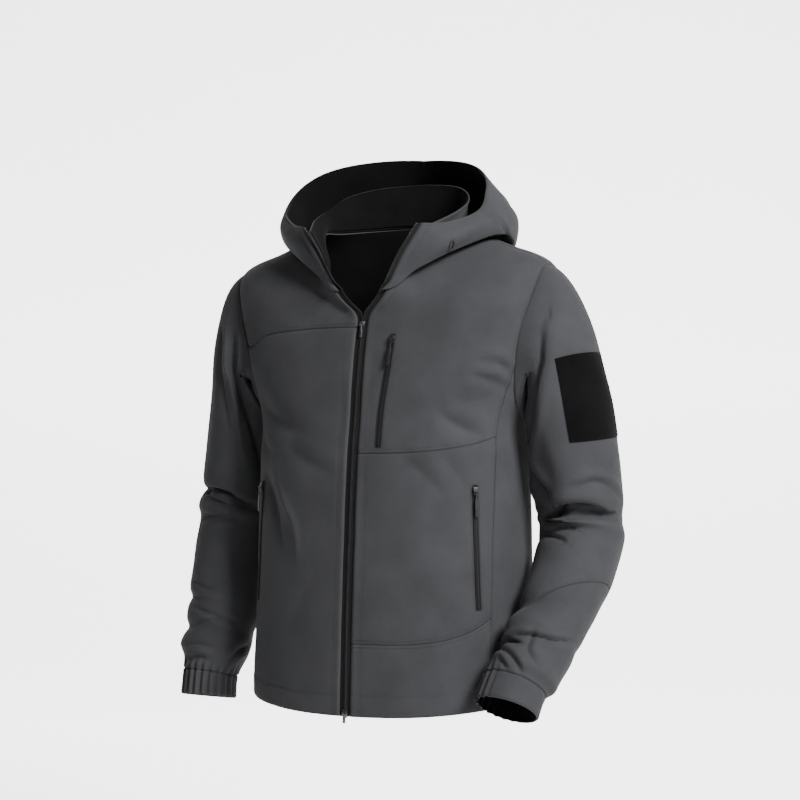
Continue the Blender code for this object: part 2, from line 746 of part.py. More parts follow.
def make_sleeves():
    for name, side in (("left", 1), ("right", -1)):
        pieces = (
            ("sleeve_" + name, sleeve_grid(side)),
            ("forearm_" + name, arm_grid(side, forearm_seam, CUFF_SEAM, FOREARM_STEPS, 2 * ARMHOLE_STEPS)),
            ("cuff_" + name, arm_grid(side, cuff_seam, CUFF_END, CUFF_STEPS, CUFF_COLUMNS)),
        )
        for piece, (points, normals) in pieces:
            points = trim(points, ("high",) if piece.startswith("sleeve") else ("low", "high"))
            if side < 0:
                points, normals = mirror(points), mirror(normals)
            wall(piece, points, normals, CLOTH, "softshell", ring=True)


def make_hood():
    panel("hood_left", hood_grid(HOOD_COLUMNS, HOOD_ROWS, 0.0, 1.0, 0.0), ("last",))
    panel("hood_right", hood_grid(HOOD_COLUMNS, HOOD_ROWS, 1.0, 2.0, 0.0), ("first",))
    points, normals = hood_grid(2 * HOOD_COLUMNS, HOOD_ROWS, 0.0, 2.0, CLOTH + PIECE_GAP)
    wall("hood_lining", points, normals, LINING, "lining")


def make_collar():
    points, normals = collar_grid(0.0, 0.0, 1.0)
    wall("collar", points, normals, CLOTH, "softshell")
    points, normals = collar_grid(CLOTH + 2 * PIECE_GAP, COLLAR_LINING_START, COLLAR_LINING_END)
    wall("collar_lining", points, normals, LINING, "lining")


def front_edge(share):
    """Edge point, direction towards the opening and normal of the left front, hem (0) to hood top (1)."""
    if share < TAPE_BODY_SHARE:
        level = NECK_LEVEL * share / TAPE_BODY_SHARE
        turn = zip_edge(level)
        point = body(turn, level)
        return point, unit(point - body(turn + 1.0, level)), body_normal(turn, level)
    up = mix(TAPE_HOOD_START, 1.0, (share - TAPE_BODY_SHARE) / (1 - TAPE_BODY_SHARE))
    point = hood(0.0, up)
    return point, unit(point - hood(0.02, up)), hood_normal(0.0, up)


def make_zip_tapes():
    for name, right in (("zip_tape_left", False), ("zip_tape_right", True)):
        points = np.zeros((TAPE_STEPS + 1, 2, 3))
        normals = np.zeros_like(points)
        for row in range(TAPE_STEPS + 1):
            point, across, normal = front_edge(row / TAPE_STEPS)
            for column in range(2):
                reach = 2 * PIECE_GAP + TAPE_WIDTH * column
                points[row, column] = point + across * reach - normal * TAPE_SINK
                normals[row, column] = normal
        if right:
            points, normals = mirror(points), mirror(normals)
        wall(name, points, normals, TAPE_THICK, "zip_tape")


def pocket_place(pocket, share):
    """Turn and level of a pocket zip's middle line, from its top (0) to its end (1)."""
    turn = mix(pocket.top_turn, pocket.end_turn, share)
    return turn, level_at(turn, mix(pocket.top_z, pocket.end_z, share))


def make_pocket_zip(name, pocket, right):
    points = np.zeros((POCKET_STEPS + 1, 3, 3))
    normals = np.zeros_like(points)
    for row in range(POCKET_STEPS + 1):
        turn, level = pocket_place(pocket, row / POCKET_STEPS)
        across = unit(body(turn + 0.5, level) - body(turn - 0.5, level))
        normal = body_normal(turn, level)
        top = body(turn, level) + normal * (POCKET_TAPE_LIFT + POCKET_TAPE_THICK)
        for column in range(3):
            normals[row, column] = normal
            points[row, column] = top + across * POCKET_TAPE_HALF * (column - 1)
    if right:
        points, normals = mirror(points), mirror(normals)
    wall(name, points, normals, POCKET_TAPE_THICK, "zip_tape")


def zip_matrix(point, up, normal):
    """Place on a zip: X across, Y up along it, Z out of the cloth."""
    across = unit(np.cross(up, normal))
    up = np.cross(normal, across)
    columns = [Vector(v) for v in (across, up, normal)]
    matrix = Matrix(columns).transposed().to_4x4()
    matrix.translation = Vector(point * MM)
    return matrix


def make_slider(name, matrix):
    """A slider: a plate with two ears that hold the pull tab."""
    bm = bmesh.new()
    bmesh.ops.create_grid(bm, x_segments=3, y_segments=3, size=1)
    xs = (-SLIDER_WIDTH / 2, -EAR_GAP / 2, EAR_GAP / 2, SLIDER_WIDTH / 2)
    ys = (-SLIDER_LENGTH / 2, -EAR_LENGTH / 2, EAR_LENGTH / 2, SLIDER_LENGTH / 2)
    for vert in bm.verts:
        vert.co = (xs[round((vert.co.x + 1) * 1.5)] * MM, ys[round((vert.co.y + 1) * 1.5)] * MM, 0)
    plate = bmesh.ops.extrude_face_region(bm, geom=bm.faces[:])
    top = [item for item in plate["geom"] if isinstance(item, bmesh.types.BMFace)]
    bmesh.ops.translate(bm, verts=list({v for f in top for v in f.verts}), vec=(0, 0, SLIDER_THICK * MM))
    ears = [face for face in top if abs(face.calc_center_median().x) > EAR_GAP / 2 * MM
            and abs(face.calc_center_median().y) < EAR_LENGTH / 2 * MM]
    grown = bmesh.ops.extrude_discrete_faces(bm, faces=ears)
    for face in grown["faces"]:
        bmesh.ops.translate(bm, verts=list(face.verts), vec=(0, 0, EAR_HEIGHT * MM))
    return add_object(name, bm, "zip_metal", matrix)


def make_pull(name, matrix, tab, look):
    """A pull tab that hangs from its hinge at the object's origin, down local -Y."""
    bm = bmesh.new()
    bmesh.ops.create_cube(bm, size=1)
    for vert in bm.verts:
        far = vert.co.y < 0
        width = tab.end_width if far else PULL_WIDTH
        y = -tab.length if far else PULL_OVERHANG
        x, z = math.copysign(width / 2, vert.co.x), math.copysign(PULL_THICK / 2, vert.co.z)
        vert.co = (x * MM, y * MM, z * MM)
    corners = [edge for edge in bm.edges if max(vert.co.y for vert in edge.verts) < 0
               and edge.verts[0].co.z * edge.verts[1].co.z < 0]
    bmesh.ops.bevel(bm, geom=corners, offset=PULL_ROUND * MM, segments=3, profile=0.5, affect="EDGES")
    hinge = matrix @ Matrix.Translation((0, 0, (SLIDER_THICK + HINGE_LIFT) * MM))
    return add_object(name, bm, look, hinge)


def make_slider_and_pull(slider, pull, matrix, tab, look):
    make_slider(slider, matrix)
    make_pull(pull, matrix, tab, look)


def main_zip_matrix(level):
    """On the closed front zip, just clear of both tapes, between the front edges."""
    middle = body(0.0, level)
    up = unit(body(0.0, level + 0.1) - body(0.0, level - 0.1))
    normal = unit(np.cross(np.array((1.0, 0, 0)), up))
    return zip_matrix(middle + normal * SLIDER_LIFT, up, normal)


def pocket_zip_matrix(pocket, share, right):
    turn, level = pocket_place(pocket, share)
    above, below = pocket_place(pocket, share - 0.02), pocket_place(pocket, share + 0.02)
    up = unit(body(*above) - body(*below))
    normal = body_normal(turn, level)
    point = body(turn, level) + normal * (POCKET_TAPE_LIFT + POCKET_TAPE_THICK + PIECE_GAP)
    if right:
        point, up, normal = mirror(point), mirror(up), mirror(normal)
    return zip_matrix(point, up, normal)


def make_zips():
    make_zip_tapes()
    make_slider_and_pull("zip_slider", "zip_pull", main_zip_matrix(MAIN_SLIDER_LEVEL), MAIN_PULL, "zip_metal")
    make_slider_and_pull("hem_slider", "hem_pull", main_zip_matrix(HEM_SLIDER_LEVEL), HEM_PULL, "zip_metal")
    pockets = (
        ("chest_pocket", CHEST_POCKET, CHEST_PULL, False),
        ("hand_pocket_left", HAND_POCKET, HAND_PULL, False),
        ("hand_pocket_right", HAND_POCKET, HAND_PULL, True),
    )
    for name, pocket, tab, right in pockets:
        make_pocket_zip(name + "_zip", pocket, right)
        matrix = pocket_zip_matrix(pocket, POCKET_SLIDER_SHARE, right)
        make_slider_and_pull(name + "_slider", name + "_pull", matrix, tab, "pull_rubber")


def make_patch():
    points = np.zeros((PATCH_ROWS + 1, PATCH_COLUMNS + 1, 3))
    normals = np.zeros_like(points)
    for row in range(PATCH_ROWS + 1):
        for column in range(PATCH_COLUMNS + 1):
            along = PATCH_ALONG + PATCH_HALF_ALONG * (2 * row / PATCH_ROWS - 1)
            along -= PATCH_RISE * 2 * column / PATCH_COLUMNS
            around = PATCH_AROUND + PATCH_HALF_AROUND * (2 * column / PATCH_COLUMNS - 1)
            normal = patch_normal(around, along)
            normals[row, column] = normal
            points[row, column] = patch_point(around, along) + normal * (PATCH_LIFT + PATCH_THICK)
    wall("sleeve_patch", points, normals, PATCH_THICK, "patch")


def patch_point(around, along):
    if along < 0:
        return sleeve_cap(1, around, 1 + along)
    return sleeve(1, around, along)


def patch_normal(around, along):
    if along < 0:
        return cap_normal(1, around, 1 + along)
    return sleeve_normal(1, around, along)


def make_eyelet():
    """An oval ring that lies on the left of the hood."""
    bm = bmesh.new()
    point = hood(EYELET_ACROSS, EYELET_UP)
    normal = hood_normal(EYELET_ACROSS, EYELET_UP)
    up = unit(hood(EYELET_ACROSS, EYELET_UP + 0.02) - hood(EYELET_ACROSS, EYELET_UP - 0.02))
    rings = []
    for shrink, lift in ((0, 0), (0, EYELET_THICK), (EYELET_BAND, EYELET_THICK), (EYELET_BAND, 0)):
        ring = []
        for k in range(EYELET_SEGMENTS):
            angle = 2 * math.pi * k / EYELET_SEGMENTS
            x = (EYELET_HALF_WIDTH - shrink) * math.cos(angle)
            y = (EYELET_HALF_HEIGHT - shrink) * math.sin(angle)
            ring.append(bm.verts.new((x * MM, y * MM, lift * MM)))
        rings.append(ring)
    for a, b in zip(rings, rings[1:] + rings[:1]):
        for k in range(EYELET_SEGMENTS):
            n = (k + 1) % EYELET_SEGMENTS
            bm.faces.new((a[k], a[n], b[n], b[k]))
    add_object("hood_eyelet", bm, "zip_metal", zip_matrix(point + normal * EYELET_LIFT, up, normal))


def main():
    for item in list(bpy.data.objects):
        bpy.data.objects.remove(item)
    make_fronts()
    make_sleeves()
    make_hood()
    make_collar()
    make_zips()
    make_patch()
    make_eyelet()


main()
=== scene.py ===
"""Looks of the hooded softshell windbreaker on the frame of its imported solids. Tables are in millimetres."""
import math
from collections import namedtuple

import bmesh
import bpy
import numpy as np
from mathutils import Matrix, Vector


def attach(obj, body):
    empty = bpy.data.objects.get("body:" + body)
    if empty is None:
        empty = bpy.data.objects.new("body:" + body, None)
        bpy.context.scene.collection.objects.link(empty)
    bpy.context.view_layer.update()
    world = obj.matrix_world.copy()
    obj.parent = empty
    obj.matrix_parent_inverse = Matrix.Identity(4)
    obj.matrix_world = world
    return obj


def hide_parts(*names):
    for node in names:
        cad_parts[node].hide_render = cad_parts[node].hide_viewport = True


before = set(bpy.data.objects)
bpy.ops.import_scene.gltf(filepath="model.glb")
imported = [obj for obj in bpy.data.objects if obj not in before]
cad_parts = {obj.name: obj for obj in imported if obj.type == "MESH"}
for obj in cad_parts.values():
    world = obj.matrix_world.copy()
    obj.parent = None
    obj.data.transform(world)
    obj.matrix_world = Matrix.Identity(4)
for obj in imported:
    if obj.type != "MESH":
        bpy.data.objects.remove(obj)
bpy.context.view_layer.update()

MM = 0.001
GARMENT = "garment"
rng = np.random.default_rng(11)

# Cloth, seams and sewing
CLOTH = 1.6
LINING = 1.0
SEAM_GAP = 0.05
PIECE_GAP = 0.4
SEAM_DROP, SEAM_ROLL = 1.7, 1.4
ARMHOLE_DROP, CAP_DROP = 0.9, 0.3
SEAM_TUCK, SEAM_UNDER = 1.5, 1.0
STITCH_DROP, STITCH_ROLL = 0.7, 0.9
STITCH_LENGTH, STITCH_PITCH, STITCH_RADIUS, STITCH_LIFT = 2.6, 3.5, 0.33, 0.4
RIPPLE, RIPPLE_FINE, RIPPLE_BROAD = 0.5, 9, 5
PUCKER, PUCKER_ROLL, RAISE_EASE = 0.22, 4, 2
SEAM_STEPS = (0, 0.5, 1.2, 2.2, 3.6, 4.5, 5.4, 7.0)
CUFF_STEPS = SEAM_STEPS[:5]
PLACKET_STEPS = (0, 0.5, 1.2, 2.2, 4.0, 7.0, 10.0, 11.1, 12.0, 12.9, 15.0)
HEM_STEPS = (0, 0.6, 1.4, 2.6, 6.0, 12.0, 20.0, 26.0, 27.0, 28.0, 31.0)
SEAM_STITCH, PLACKET_STITCH, HEM_STITCH = 4.5, 12.0, 27.0
PLACKET_RAISE, PLACKET_BACK, HEM_RAISE, HOOD_RAISE = 0.5, 1.6, 0.4, 0.4
CLOTH_SHARP, TRIM_SHARP = 55, 40

# Spacing of the cloth grids, and the rough lengths that set how many rows and columns each one gets
CLOTH_STEP, BACK_STEP, TAPE_STEP = 3.4, 4.6, 3.0
SLEEVE_STEP, CUFF_STEP = 2.5, 2.2
SLEEVE_COLUMNS, CUFF_COLUMNS, POCKET_COLUMNS = 176, 180, 7
HOOD_LINING_STEP, COLLAR_LINING_STEP, COLLAR_LINING_UP_STEP = 5.0, 4.5, 4.0
TOP_FRONT_WIDTH, MAIN_FRONT_WIDTH, LOW_FRONT_WIDTH = 205, 190, 180
SIDE_WIDTH, SIDE_HEIGHT, BACK_WIDTH = 150, 420, 480
CAP_LENGTH, UPPER_ARM_LENGTH, FOREARM_LENGTH, CUFF_LENGTH = 110, 350, 150, 34
HOOD_HALF_WIDTH, HOOD_WIDTH, HOOD_HEIGHT = 330, 620, 250
COLLAR_WIDTH, COLLAR_HEIGHT, COLLAR_LINING_HEIGHT = 420, 64, 60
TAPE_LENGTH, POCKET_LENGTH = 780, 165
PATCH_ROWS, PATCH_COLUMNS = 60, 46
CREASE_POINTS, TEETH_POINTS = 14, 400
LEVEL_HALVINGS, SEAM_ROUNDS = 34, 12

# Body rings from the hem to the neck
Ring = namedtuple("Ring", "name half_width front back z_front z_side z_back square")
BODY_RINGS = (
    Ring("hem", 203, 151, 112, -637, -622, -628, 2.4),
    Ring("hip", 200, 147, 110, -516, -516, -516, 2.4),
    Ring("waist", 197, 139, 108, -392, -392, -392, 2.4),
    Ring("chest", 197, 131, 114, -292, -292, -290, 2.4),
    Ring("armpit", 197, 122, 120, -228, -236, -215, 2.4),
    Ring("armhole", 226, 113, 118, -165, -134, -138, 2.4),
    Ring("shoulder", 240, 101, 104, -108, -36, -66, 2.35),
    Ring("mid_shoulder", 170, 97, 92, -82, 0, -14, 2.2),
    Ring("neck", 105, 92, 75, -60, 24, 32, 2.0),
)
NECK_LEVEL = len(BODY_RINGS) - 1.0
RING_NUMBERS = np.array([ring[1:] for ring in BODY_RINGS], float)

# Armhole, side seams, zip and cross seams
ARMHOLE_LEVEL, ARMHOLE_HALF_LEVEL = 5.05, 1.05
ARMHOLE_TURN, ARMHOLE_HALF_TURN, ARMHOLE_LEAN = 90.0, 24.5, 3.5
SHOULDER_TURN = ARMHOLE_TURN - ARMHOLE_LEAN
ARMHOLE_STEPS = 60
SIDE_FRONT_STEP, SIDE_BACK_STEP, YOKE_STEP = 36, 48, 30
SIDE_FRONT_HEM_TURN, SIDE_BACK_HEM_TURN = 62.0, 105.0
ZIP_HALF = 6.2
SLIDER_LEVEL = 6.0
OPEN_SIDEWAYS, OPEN_FORWARD, OPEN_TURN = 32.0, 12.0, 45.0
CrossSeam = namedtuple("CrossSeam", "middle rise turn power")
CHEST_SEAM = CrossSeam(-285, 22, 65, 2.2)
LOWER_SEAM = CrossSeam(-540, 30, 60, 3.0)
YOKE_SEAM = CrossSeam(-114, -26, 65, 2.0)

# Sleeve sections from below the shoulder to the end of the cuff
Section = namedtuple("Section", "x y z outer inner front back")
LEFT_SECTIONS = (
    Section(240, 12, -172, 61, 36, 68, 68),
    Section(251, 20, -240, 62, 47, 72, 66),
    Section(259, 32, -320, 62, 54, 66, 60),
    Section(264, 38, -385, 60, 56, 60, 62),
    Section(261, 16, -440, 56, 55, 56, 62),
    Section(251, -32, -500, 52, 47, 51, 53),
    Section(239, -76, -554, 51, 46, 45, 46),
    Section(229, -105, -588, 46, 44, 37, 37),
    Section(225, -125, -617, 46, 44, 36, 36),
)
RIGHT_SECTIONS = (
    Section(238, 14, -172, 60, 32, 67, 67),
    Section(247, 20, -240, 58, 43, 66, 64),
    Section(261, 24, -320, 58, 55, 62, 60),
    Section(270, 25, -385, 56, 56, 58, 60),
    Section(272, 8, -445, 55, 54, 55, 58),
    Section(273, -9, -505, 53, 53, 52, 53),
    Section(279, -21, -562, 49, 48, 49, 50),
    Section(284, -31, -606, 37, 37, 45, 45),
    Section(284, -37, -640, 37, 37, 45, 45),
)
FOREARM_SEAM, FOREARM_TILT, FOREARM_LOW = 4.78, 0.6, 0.426
CUFF_SEAM, CUFF_END = 7.0, 8.0
LEFT_CAP_REACH, RIGHT_CAP_REACH = 118.0, 120.0
CAP_UNDER_OUT, CAP_UNDER_DOWN, CAP_TOP_FALL = 16, -10, -0.4
CAP_ARRIVE_UNDER, CAP_ARRIVE_TOP = 0.3, 1.5
SECTION_STEP, GATHER_START = 0.05, 0.5

# Large sleeve folds, as in the solids
Fold = namedtuple("Fold", "along around long_half round_half slant height")
LEFT_FOLDS = (
    Fold(2.55, 0.22, 0.13, 0.20, -1.2, -9),
    Fold(2.95, 0.20, 0.16, 0.22, -0.8, 5),
    Fold(1.95, 0.30, 0.60, 0.05, 0.0, -6),
    Fold(3.35, 0.30, 0.16, 0.12, 1.4, -6),
    Fold(5.15, 0.30, 0.16, 0.20, 0.6, -6),
    Fold(5.55, 0.28, 0.20, 0.22, 0.4, 4),
    Fold(6.10, 0.34, 0.15, 0.18, 0.9, -6),
    Fold(6.55, 0.05, 0.25, 0.35, 0.0, 4),
    Fold(2.70, 0.75, 0.20, 0.20, 0.8, -6),
    Fold(5.60, 0.78, 0.18, 0.20, -0.6, -5),
)
RIGHT_FOLDS = (
    Fold(2.45, 0.15, 0.13, 0.22, 0.9, -8),
    Fold(2.85, 0.16, 0.18, 0.22, 0.5, 5),
    Fold(1.30, 0.30, 0.60, 0.05, 1.0, -5),
    Fold(5.05, 0.12, 0.15, 0.18, 0.4, -5),
    Fold(5.75, 0.14, 0.16, 0.20, -0.5, -6),
    Fold(6.30, 0.12, 0.22, 0.30, 0.0, 5),
    Fold(2.70, 0.70, 0.20, 0.20, -0.8, -6),
    Fold(5.70, 0.72, 0.18, 0.22, 0.5, -5),
)
Gather = namedtuple("Gather", "count height start end")
LEFT_GATHER = Gather(11, 2.2, 0.28, 0.78)
RIGHT_GATHER = Gather(15, 2.2, -0.04, 0.62)

# Creases: a path of places, half width, depth of the trough and height of the ridge beside it.
# A depth below 0 makes a ridge. A crease with a lap is a crisp step down on the left of its path, and the
# cloth comes back up over the lap. Body places are turn (right below 0) and height, arm places around and
# along, hood places across and up.
Crease = namedtuple("Crease", "path width depth ridge lap", defaults=(0.0,))
CREASE_ROUND, CREASE_SHARP, LIP_REACH = 0.45, 1.5, 8.0
CREASE_REACH, LAP_REACH = 4.5, 4
CREASE_END, CREASE_TAPER = 0.03, 0.8
RIDGE_PLACE, RIDGE_WIDTH = 1.7, 1.2
FAR_RIDGE_PLACE, FAR_RIDGE_WIDTH, FAR_RIDGE_SHARE = 1.9, 1.4, 0.4
BODY_CREASES = (
    Crease(((-38, -51), (-13, -75), (-2, -101)), 12, 5.0, 2.4),
    Crease(((-53, -27), (-29, -51), (-3, -77)), 9, 2.0, 1.0),
    Crease(((-42, -300), (-30, -355), (-23, -386), (-20, -432)), 6, -4.2, 0.0),
    Crease(((-50, -310), (-38, -362), (-31, -425)), 12, 6.0, 0.0),
    Crease(((-32, -274), (-17, -298), (-4, -316)), 13, 2.8, 1.6),
    Crease(((-57, -208), (-40, -240), (-18, -262)), 15, 3.4, 1.8),
    Crease(((-62, -258), (-50, -280), (-28, -296)), 13, 3.2, 1.6),
    Crease(((30, -226), (45, -250), (60, -262)), 10, 4.0, 2.6),
    Crease(((28, -224), (47, -217), (64, -200)), 13, 2.2, 1.4),
    Crease(((44, -163), (56, -164), (67, -179)), 6.5, 3.8, 2.6),
    Crease(((43, -180), (58, -189), (68, -201)), 6.5, 3.6, 2.4),
    Crease(((16, -288), (26, -309), (38, -342)), 13, 2.8, 1.6),
    Crease(((30, -276), (41, -305), (50, -340)), 13, 2.2, 1.4),
    Crease(((67, -253), (78, -309), (86, -364)), 14, 4.0, 1.0),
    Crease(((-9, -428), (-18, -485), (-26, -542)), 16, 1.6, 0.8),
    Crease(((12, -428), (27, -466), (41, -479)), 18, 1.4, 0.8),
    Crease(((46, -545), (30, -575), (20, -610)), 16, 1.2, 0.8),
    Crease(((118, -226), (138, -262), (158, -290)), 12, 4.0, 2.0),
    Crease(((242, -230), (224, -272), (206, -296)), 11, 3.6, 2.2),
    Crease(((124, -180), (141, -190), (154, -212)), 8, 2.4, 1.4),
    Crease(((237, -176), (222, -193), (211, -205)), 9, 2.0, 1.4),
    Crease(((148, -408), (176, -424), (209, -412)), 12, 3.2, 2.4),
    Crease(((156, -446), (184, -456), (203, -448)), 9, 2.4, 1.8),
    Crease(((128, -470), (146, -492), (160, -498)), 12, 2.4, 1.6),
    Crease(((232, -462), (214, -490), (204, -494)), 12, 2.6, 1.4),
    Crease(((108, -300), (112, -372), (120, -440)), 12, 3.0, 1.4),
    Crease(((253, -310), (248, -390), (240, -452)), 13, 2.6, 1.6),
)
LEFT_CREASES = (
    Crease(((0.07, 2.62), (0.12, 2.45), (0.18, 2.33), (0.26, 2.34), (0.35, 2.56), (0.38, 2.66)),
           5, 15.0, 5.0, 9.0),
    Crease(((0.24, 2.62), (0.16, 2.64), (0.10, 2.72), (0.04, 2.89)), 4.5, 6.0, 4.0),
    Crease(((0.20, 3.24), (0.23, 3.01), (0.31, 2.90), (0.37, 2.82)), 5, 5.0, 2.0, 6.0),
    Crease(((0.22, 3.79), (0.25, 3.63), (0.345, 3.34), (0.39, 3.10)), 5, 5.0, 2.0, 6.0),
    Crease(((0.20, 2.10), (0.13, 2.00), (0.07, 2.12), (0.00, 2.42)), 6, 5.0, 4.0),
    Crease(((0.26, 2.30), (0.30, 2.10), (0.34, 1.90), (0.385, 1.62), (0.385, 1.38), (0.32, 0.90),
            (0.255, 0.30), (0.20, -0.42), (0.16, -0.64)), 9, 16.0, 2.5, 13.0),
    Crease(((0.39, 0.55), (0.40, 0.95), (0.41, 1.50), (0.42, 1.90)), 16, -8.0, 0.0),
    Crease(((0.43, 0.40), (0.44, 1.30), (0.44, 2.10), (0.42, 2.60)), 22, -11.0, 0.0),
    Crease(((0.36, 5.98), (0.22, 5.85), (0.11, 5.72), (-0.02, 5.35)), 4, 5.0, 3.6),
    Crease(((0.44, 6.02), (0.33, 6.02), (0.22, 6.12)), 3.6, 4.0, 2.6),
    Crease(((0.40, 6.30), (0.30, 6.42), (0.22, 6.66), (0.18, 6.90)), 4, 4.0, 2.6),
    Crease(((0.21, 5.66), (0.20, 6.20), (0.12, 6.52)), 5, 3.2, 2.4),
    Crease(((0.33, 6.60), (0.28, 6.78), (0.25, 6.95)), 3.6, 2.6, 1.8),
    Crease(((0.04, 4.70), (0.08, 5.10), (0.13, 5.30)), 7, 1.6, 1.0),
    Crease(((0.60, 2.25), (0.68, 2.50), (0.78, 2.42)), 5, 5.0, 2.8),
    Crease(((0.58, 3.05), (0.67, 3.25), (0.75, 3.05)), 4.5, 3.8, 2.0),
    Crease(((0.82, 2.62), (0.88, 2.78), (0.95, 2.70)), 6, 2.6, 1.8),
    Crease(((0.82, -0.45), (0.77, 0.25), (0.71, 1.05)), 7, 5.0, 3.0),
    Crease(((0.90, 0.30), (0.86, 0.90), (0.84, 1.60)), 9, 2.6, 1.6),
    Crease(((0.55, 5.55), (0.65, 5.80), (0.76, 5.60)), 4.5, 3.6, 2.4),
    Crease(((0.60, 6.25), (0.70, 6.42), (0.82, 6.30)), 4.5, 3.2, 2.2),
)
RIGHT_CREASES = (
    Crease(((0.10, 2.52), (0.16, 2.36), (0.215, 2.33), (0.28, 2.36), (0.32, 2.48), (0.42, 2.66)),
           5, 13.0, 6.0),
    Crease(((0.15, 3.21), (0.26, 3.08), (0.33, 2.88)), 6, 4.0, 2.4),
    Crease(((0.15, -0.70), (0.20, -0.53), (0.24, 0.00), (0.285, 0.65), (0.31, 1.13), (0.35, 1.70)),
           6, -7.0, 0.0),
    Crease(((0.15, -0.60), (0.17, -0.45), (0.195, 0.04), (0.225, 0.68), (0.26, 1.30)), 7, 6.0, 0.0),
    Crease(((0.20, -0.80), (0.25, -0.43), (0.31, 0.40), (0.36, 0.88), (0.41, 1.50)), 8, 13.0, 0.0),
    Crease(((0.21, -0.90), (0.27, -0.67), (0.345, 0.25), (0.39, 0.63), (0.44, 0.85), (0.46, 1.10)),
           6, -8.0, 0.0),
    Crease(((0.30, -0.80), (0.36, -0.45), (0.41, 0.00), (0.45, 0.50)), 8, 9.0, 0.0),
    Crease(((0.40, 1.00), (0.42, 1.60), (0.43, 2.20)), 14, 8.0, 0.0),
    Crease(((0.17, 5.28), (0.25, 5.36), (0.32, 5.40)), 4, 3.6, 2.4),
    Crease(((0.22, 5.68), (0.31, 5.47), (0.40, 5.45)), 4.5, 3.6, 3.0),
    Crease(((0.12, 6.42), (0.25, 6.22), (0.35, 6.22)), 5, 4.0, 3.0),
    Crease(((0.18, 6.78), (0.26, 6.62), (0.33, 6.64)), 4, 3.0, 2.0),
    Crease(((0.43, 6.55), (0.46, 6.15), (0.54, 5.95)), 6, 4.0, 2.4),
    Crease(((0.13, 4.65), (0.22, 4.84), (0.29, 4.86)), 5, 2.8, 1.8),
    Crease(((0.60, 2.35), (0.70, 2.58), (0.79, 2.45)), 5, 5.0, 2.6),
    Crease(((0.62, 3.10), (0.69, 3.22), (0.78, 3.05)), 5, 3.4, 2.0),
    Crease(((0.84, -0.40), (0.79, 0.35), (0.74, 1.20)), 7, 4.6, 2.8),
    Crease(((0.92, 0.40), (0.90, 1.10), (0.88, 1.70)), 9, 2.8, 1.6),
    Crease(((0.58, 5.50), (0.68, 5.72), (0.78, 5.55)), 4.5, 3.4, 2.4),
    Crease(((0.62, 6.20), (0.73, 6.38), (0.84, 6.28)), 4.5, 3.2, 2.0),
)
HOOD_CREASES = (
    Crease(((0.44, 0.68), (0.48, 0.52), (0.56, 0.36)), 4, 2.6, 2.2),
    Crease(((0.14, 0.34), (0.24, 0.46), (0.32, 0.66)), 8, 2.0, 1.0),
    Crease(((0.62, 0.74), (0.70, 0.52), (0.73, 0.32)), 7, 3.0, 2.2),
    Crease(((0.86, 0.82), (0.90, 0.58), (0.88, 0.34)), 8, 3.0, 1.8),
    Crease(((1.92, 0.84), (1.94, 0.64), (1.96, 0.40)), 4, 1.4, 1.0),
    Crease(((1.56, 0.72), (1.50, 0.52), (1.43, 0.35)), 5, 2.6, 2.2),
    Crease(((1.26, 0.78), (1.21, 0.54), (1.15, 0.32)), 8, 3.2, 2.0),
)
RUMPLE_WAVES = 7
RUMPLE_LENGTHS = (55.0, 150.0)
BODY_RUMPLE, SLEEVE_RUMPLE, CUFF_RUMPLE, HOOD_RUMPLE, COLLAR_RUMPLE = 0.6, 1.0, 0.3, 0.8, 0.8

# Hood and collar
HoodSection = namedtuple("HoodSection", "turn fold belly rim")
HOOD_SECTIONS = (
    HoodSection(1, (45, -106, -52), (67, -108, -14), (92, -103, 24)),
    HoodSection(34, (101, -86, -24), (113, -91, 2), (119, -78, 28)),
    HoodSection(64, (149, -46, 2), (156, -47, 24), (146, -41, 45)),
    HoodSection(90, (166, -2, 14), (168, 2, 32), (144, -8, 74)),
    HoodSection(115, (153, 60, 2), (156, 62, 42), (122, 30, 104)),
    HoodSection(146, (94, 126, -58), (106, 126, 14), (74, 66, 124)),
    HoodSection(180, (0, 158, -96), (0, 172, 0), (0, 90, 132)),
)
HOOD_LIFT, HOOD_START, HOOD_SEAT, HOOD_SEAT_SHARE = 4.2, 7.75, 9.0, 0.55
RIGHT_RIM_SHIFT = np.array((14.0, 6.0, 12.0))
CollarSection = namedtuple("CollarSection", "turn top")
COLLAR_SECTIONS = (
    CollarSection(8, (90, -90, 20)),
    CollarSection(40, (108, -44, 38)),
    CollarSection(75, (110, 6, 58)),
    CollarSection(110, (94, 36, 78)),
    CollarSection(145, (58, 62, 90)),
    CollarSection(180, (0, 76, 94)),
)
COLLAR_LIFT = 1.6
COLLAR_BULGE = 3.0
COLLAR_LINING_START, COLLAR_LINING_END = 0.06, 0.98

# Zips
TAPE_WIDTH, TAPE_THICK, TAPE_SINK = 5.0, 1.0, 1.9
TAPE_UNDER, TAPE_COLUMNS, TAPE_EDGE_SINK = 8.0, 11, 1.2
TAPE_OPEN_WIDTH, TAPE_OPEN_SHARE, TAPE_OPEN_EASE = 2.2, 0.66, 0.05
TAPE_BODY_SHARE, TAPE_HOOD_START = 0.87, 0.17
POCKET_TAPE_HALF, POCKET_TAPE_THICK, POCKET_TAPE_LIFT = 3.6, 1.0, 0.6
PocketZip = namedtuple("PocketZip", "top_turn top_z end_turn end_z")
CHEST_POCKET = PocketZip(8.7, -124, 8.4, -276)
HAND_POCKET = PocketZip(53.0, -326, 55.5, -492)
TOOTH_PITCH, TOOTH_LENGTH, TOOTH_WIDTH, TOOTH_THICK = 2.4, 1.3, 2.6, 1.5
TOOTH_START, TOOTH_BACK, TOOTH_LIFT, TOOTH_BEVEL = 6.0, 0.3, 0.1, 0.3
POCKET_TOOTH_SIZE, POCKET_TOOTH_BEVEL = Vector((1.9, 1.1, 0.7)), 0.2
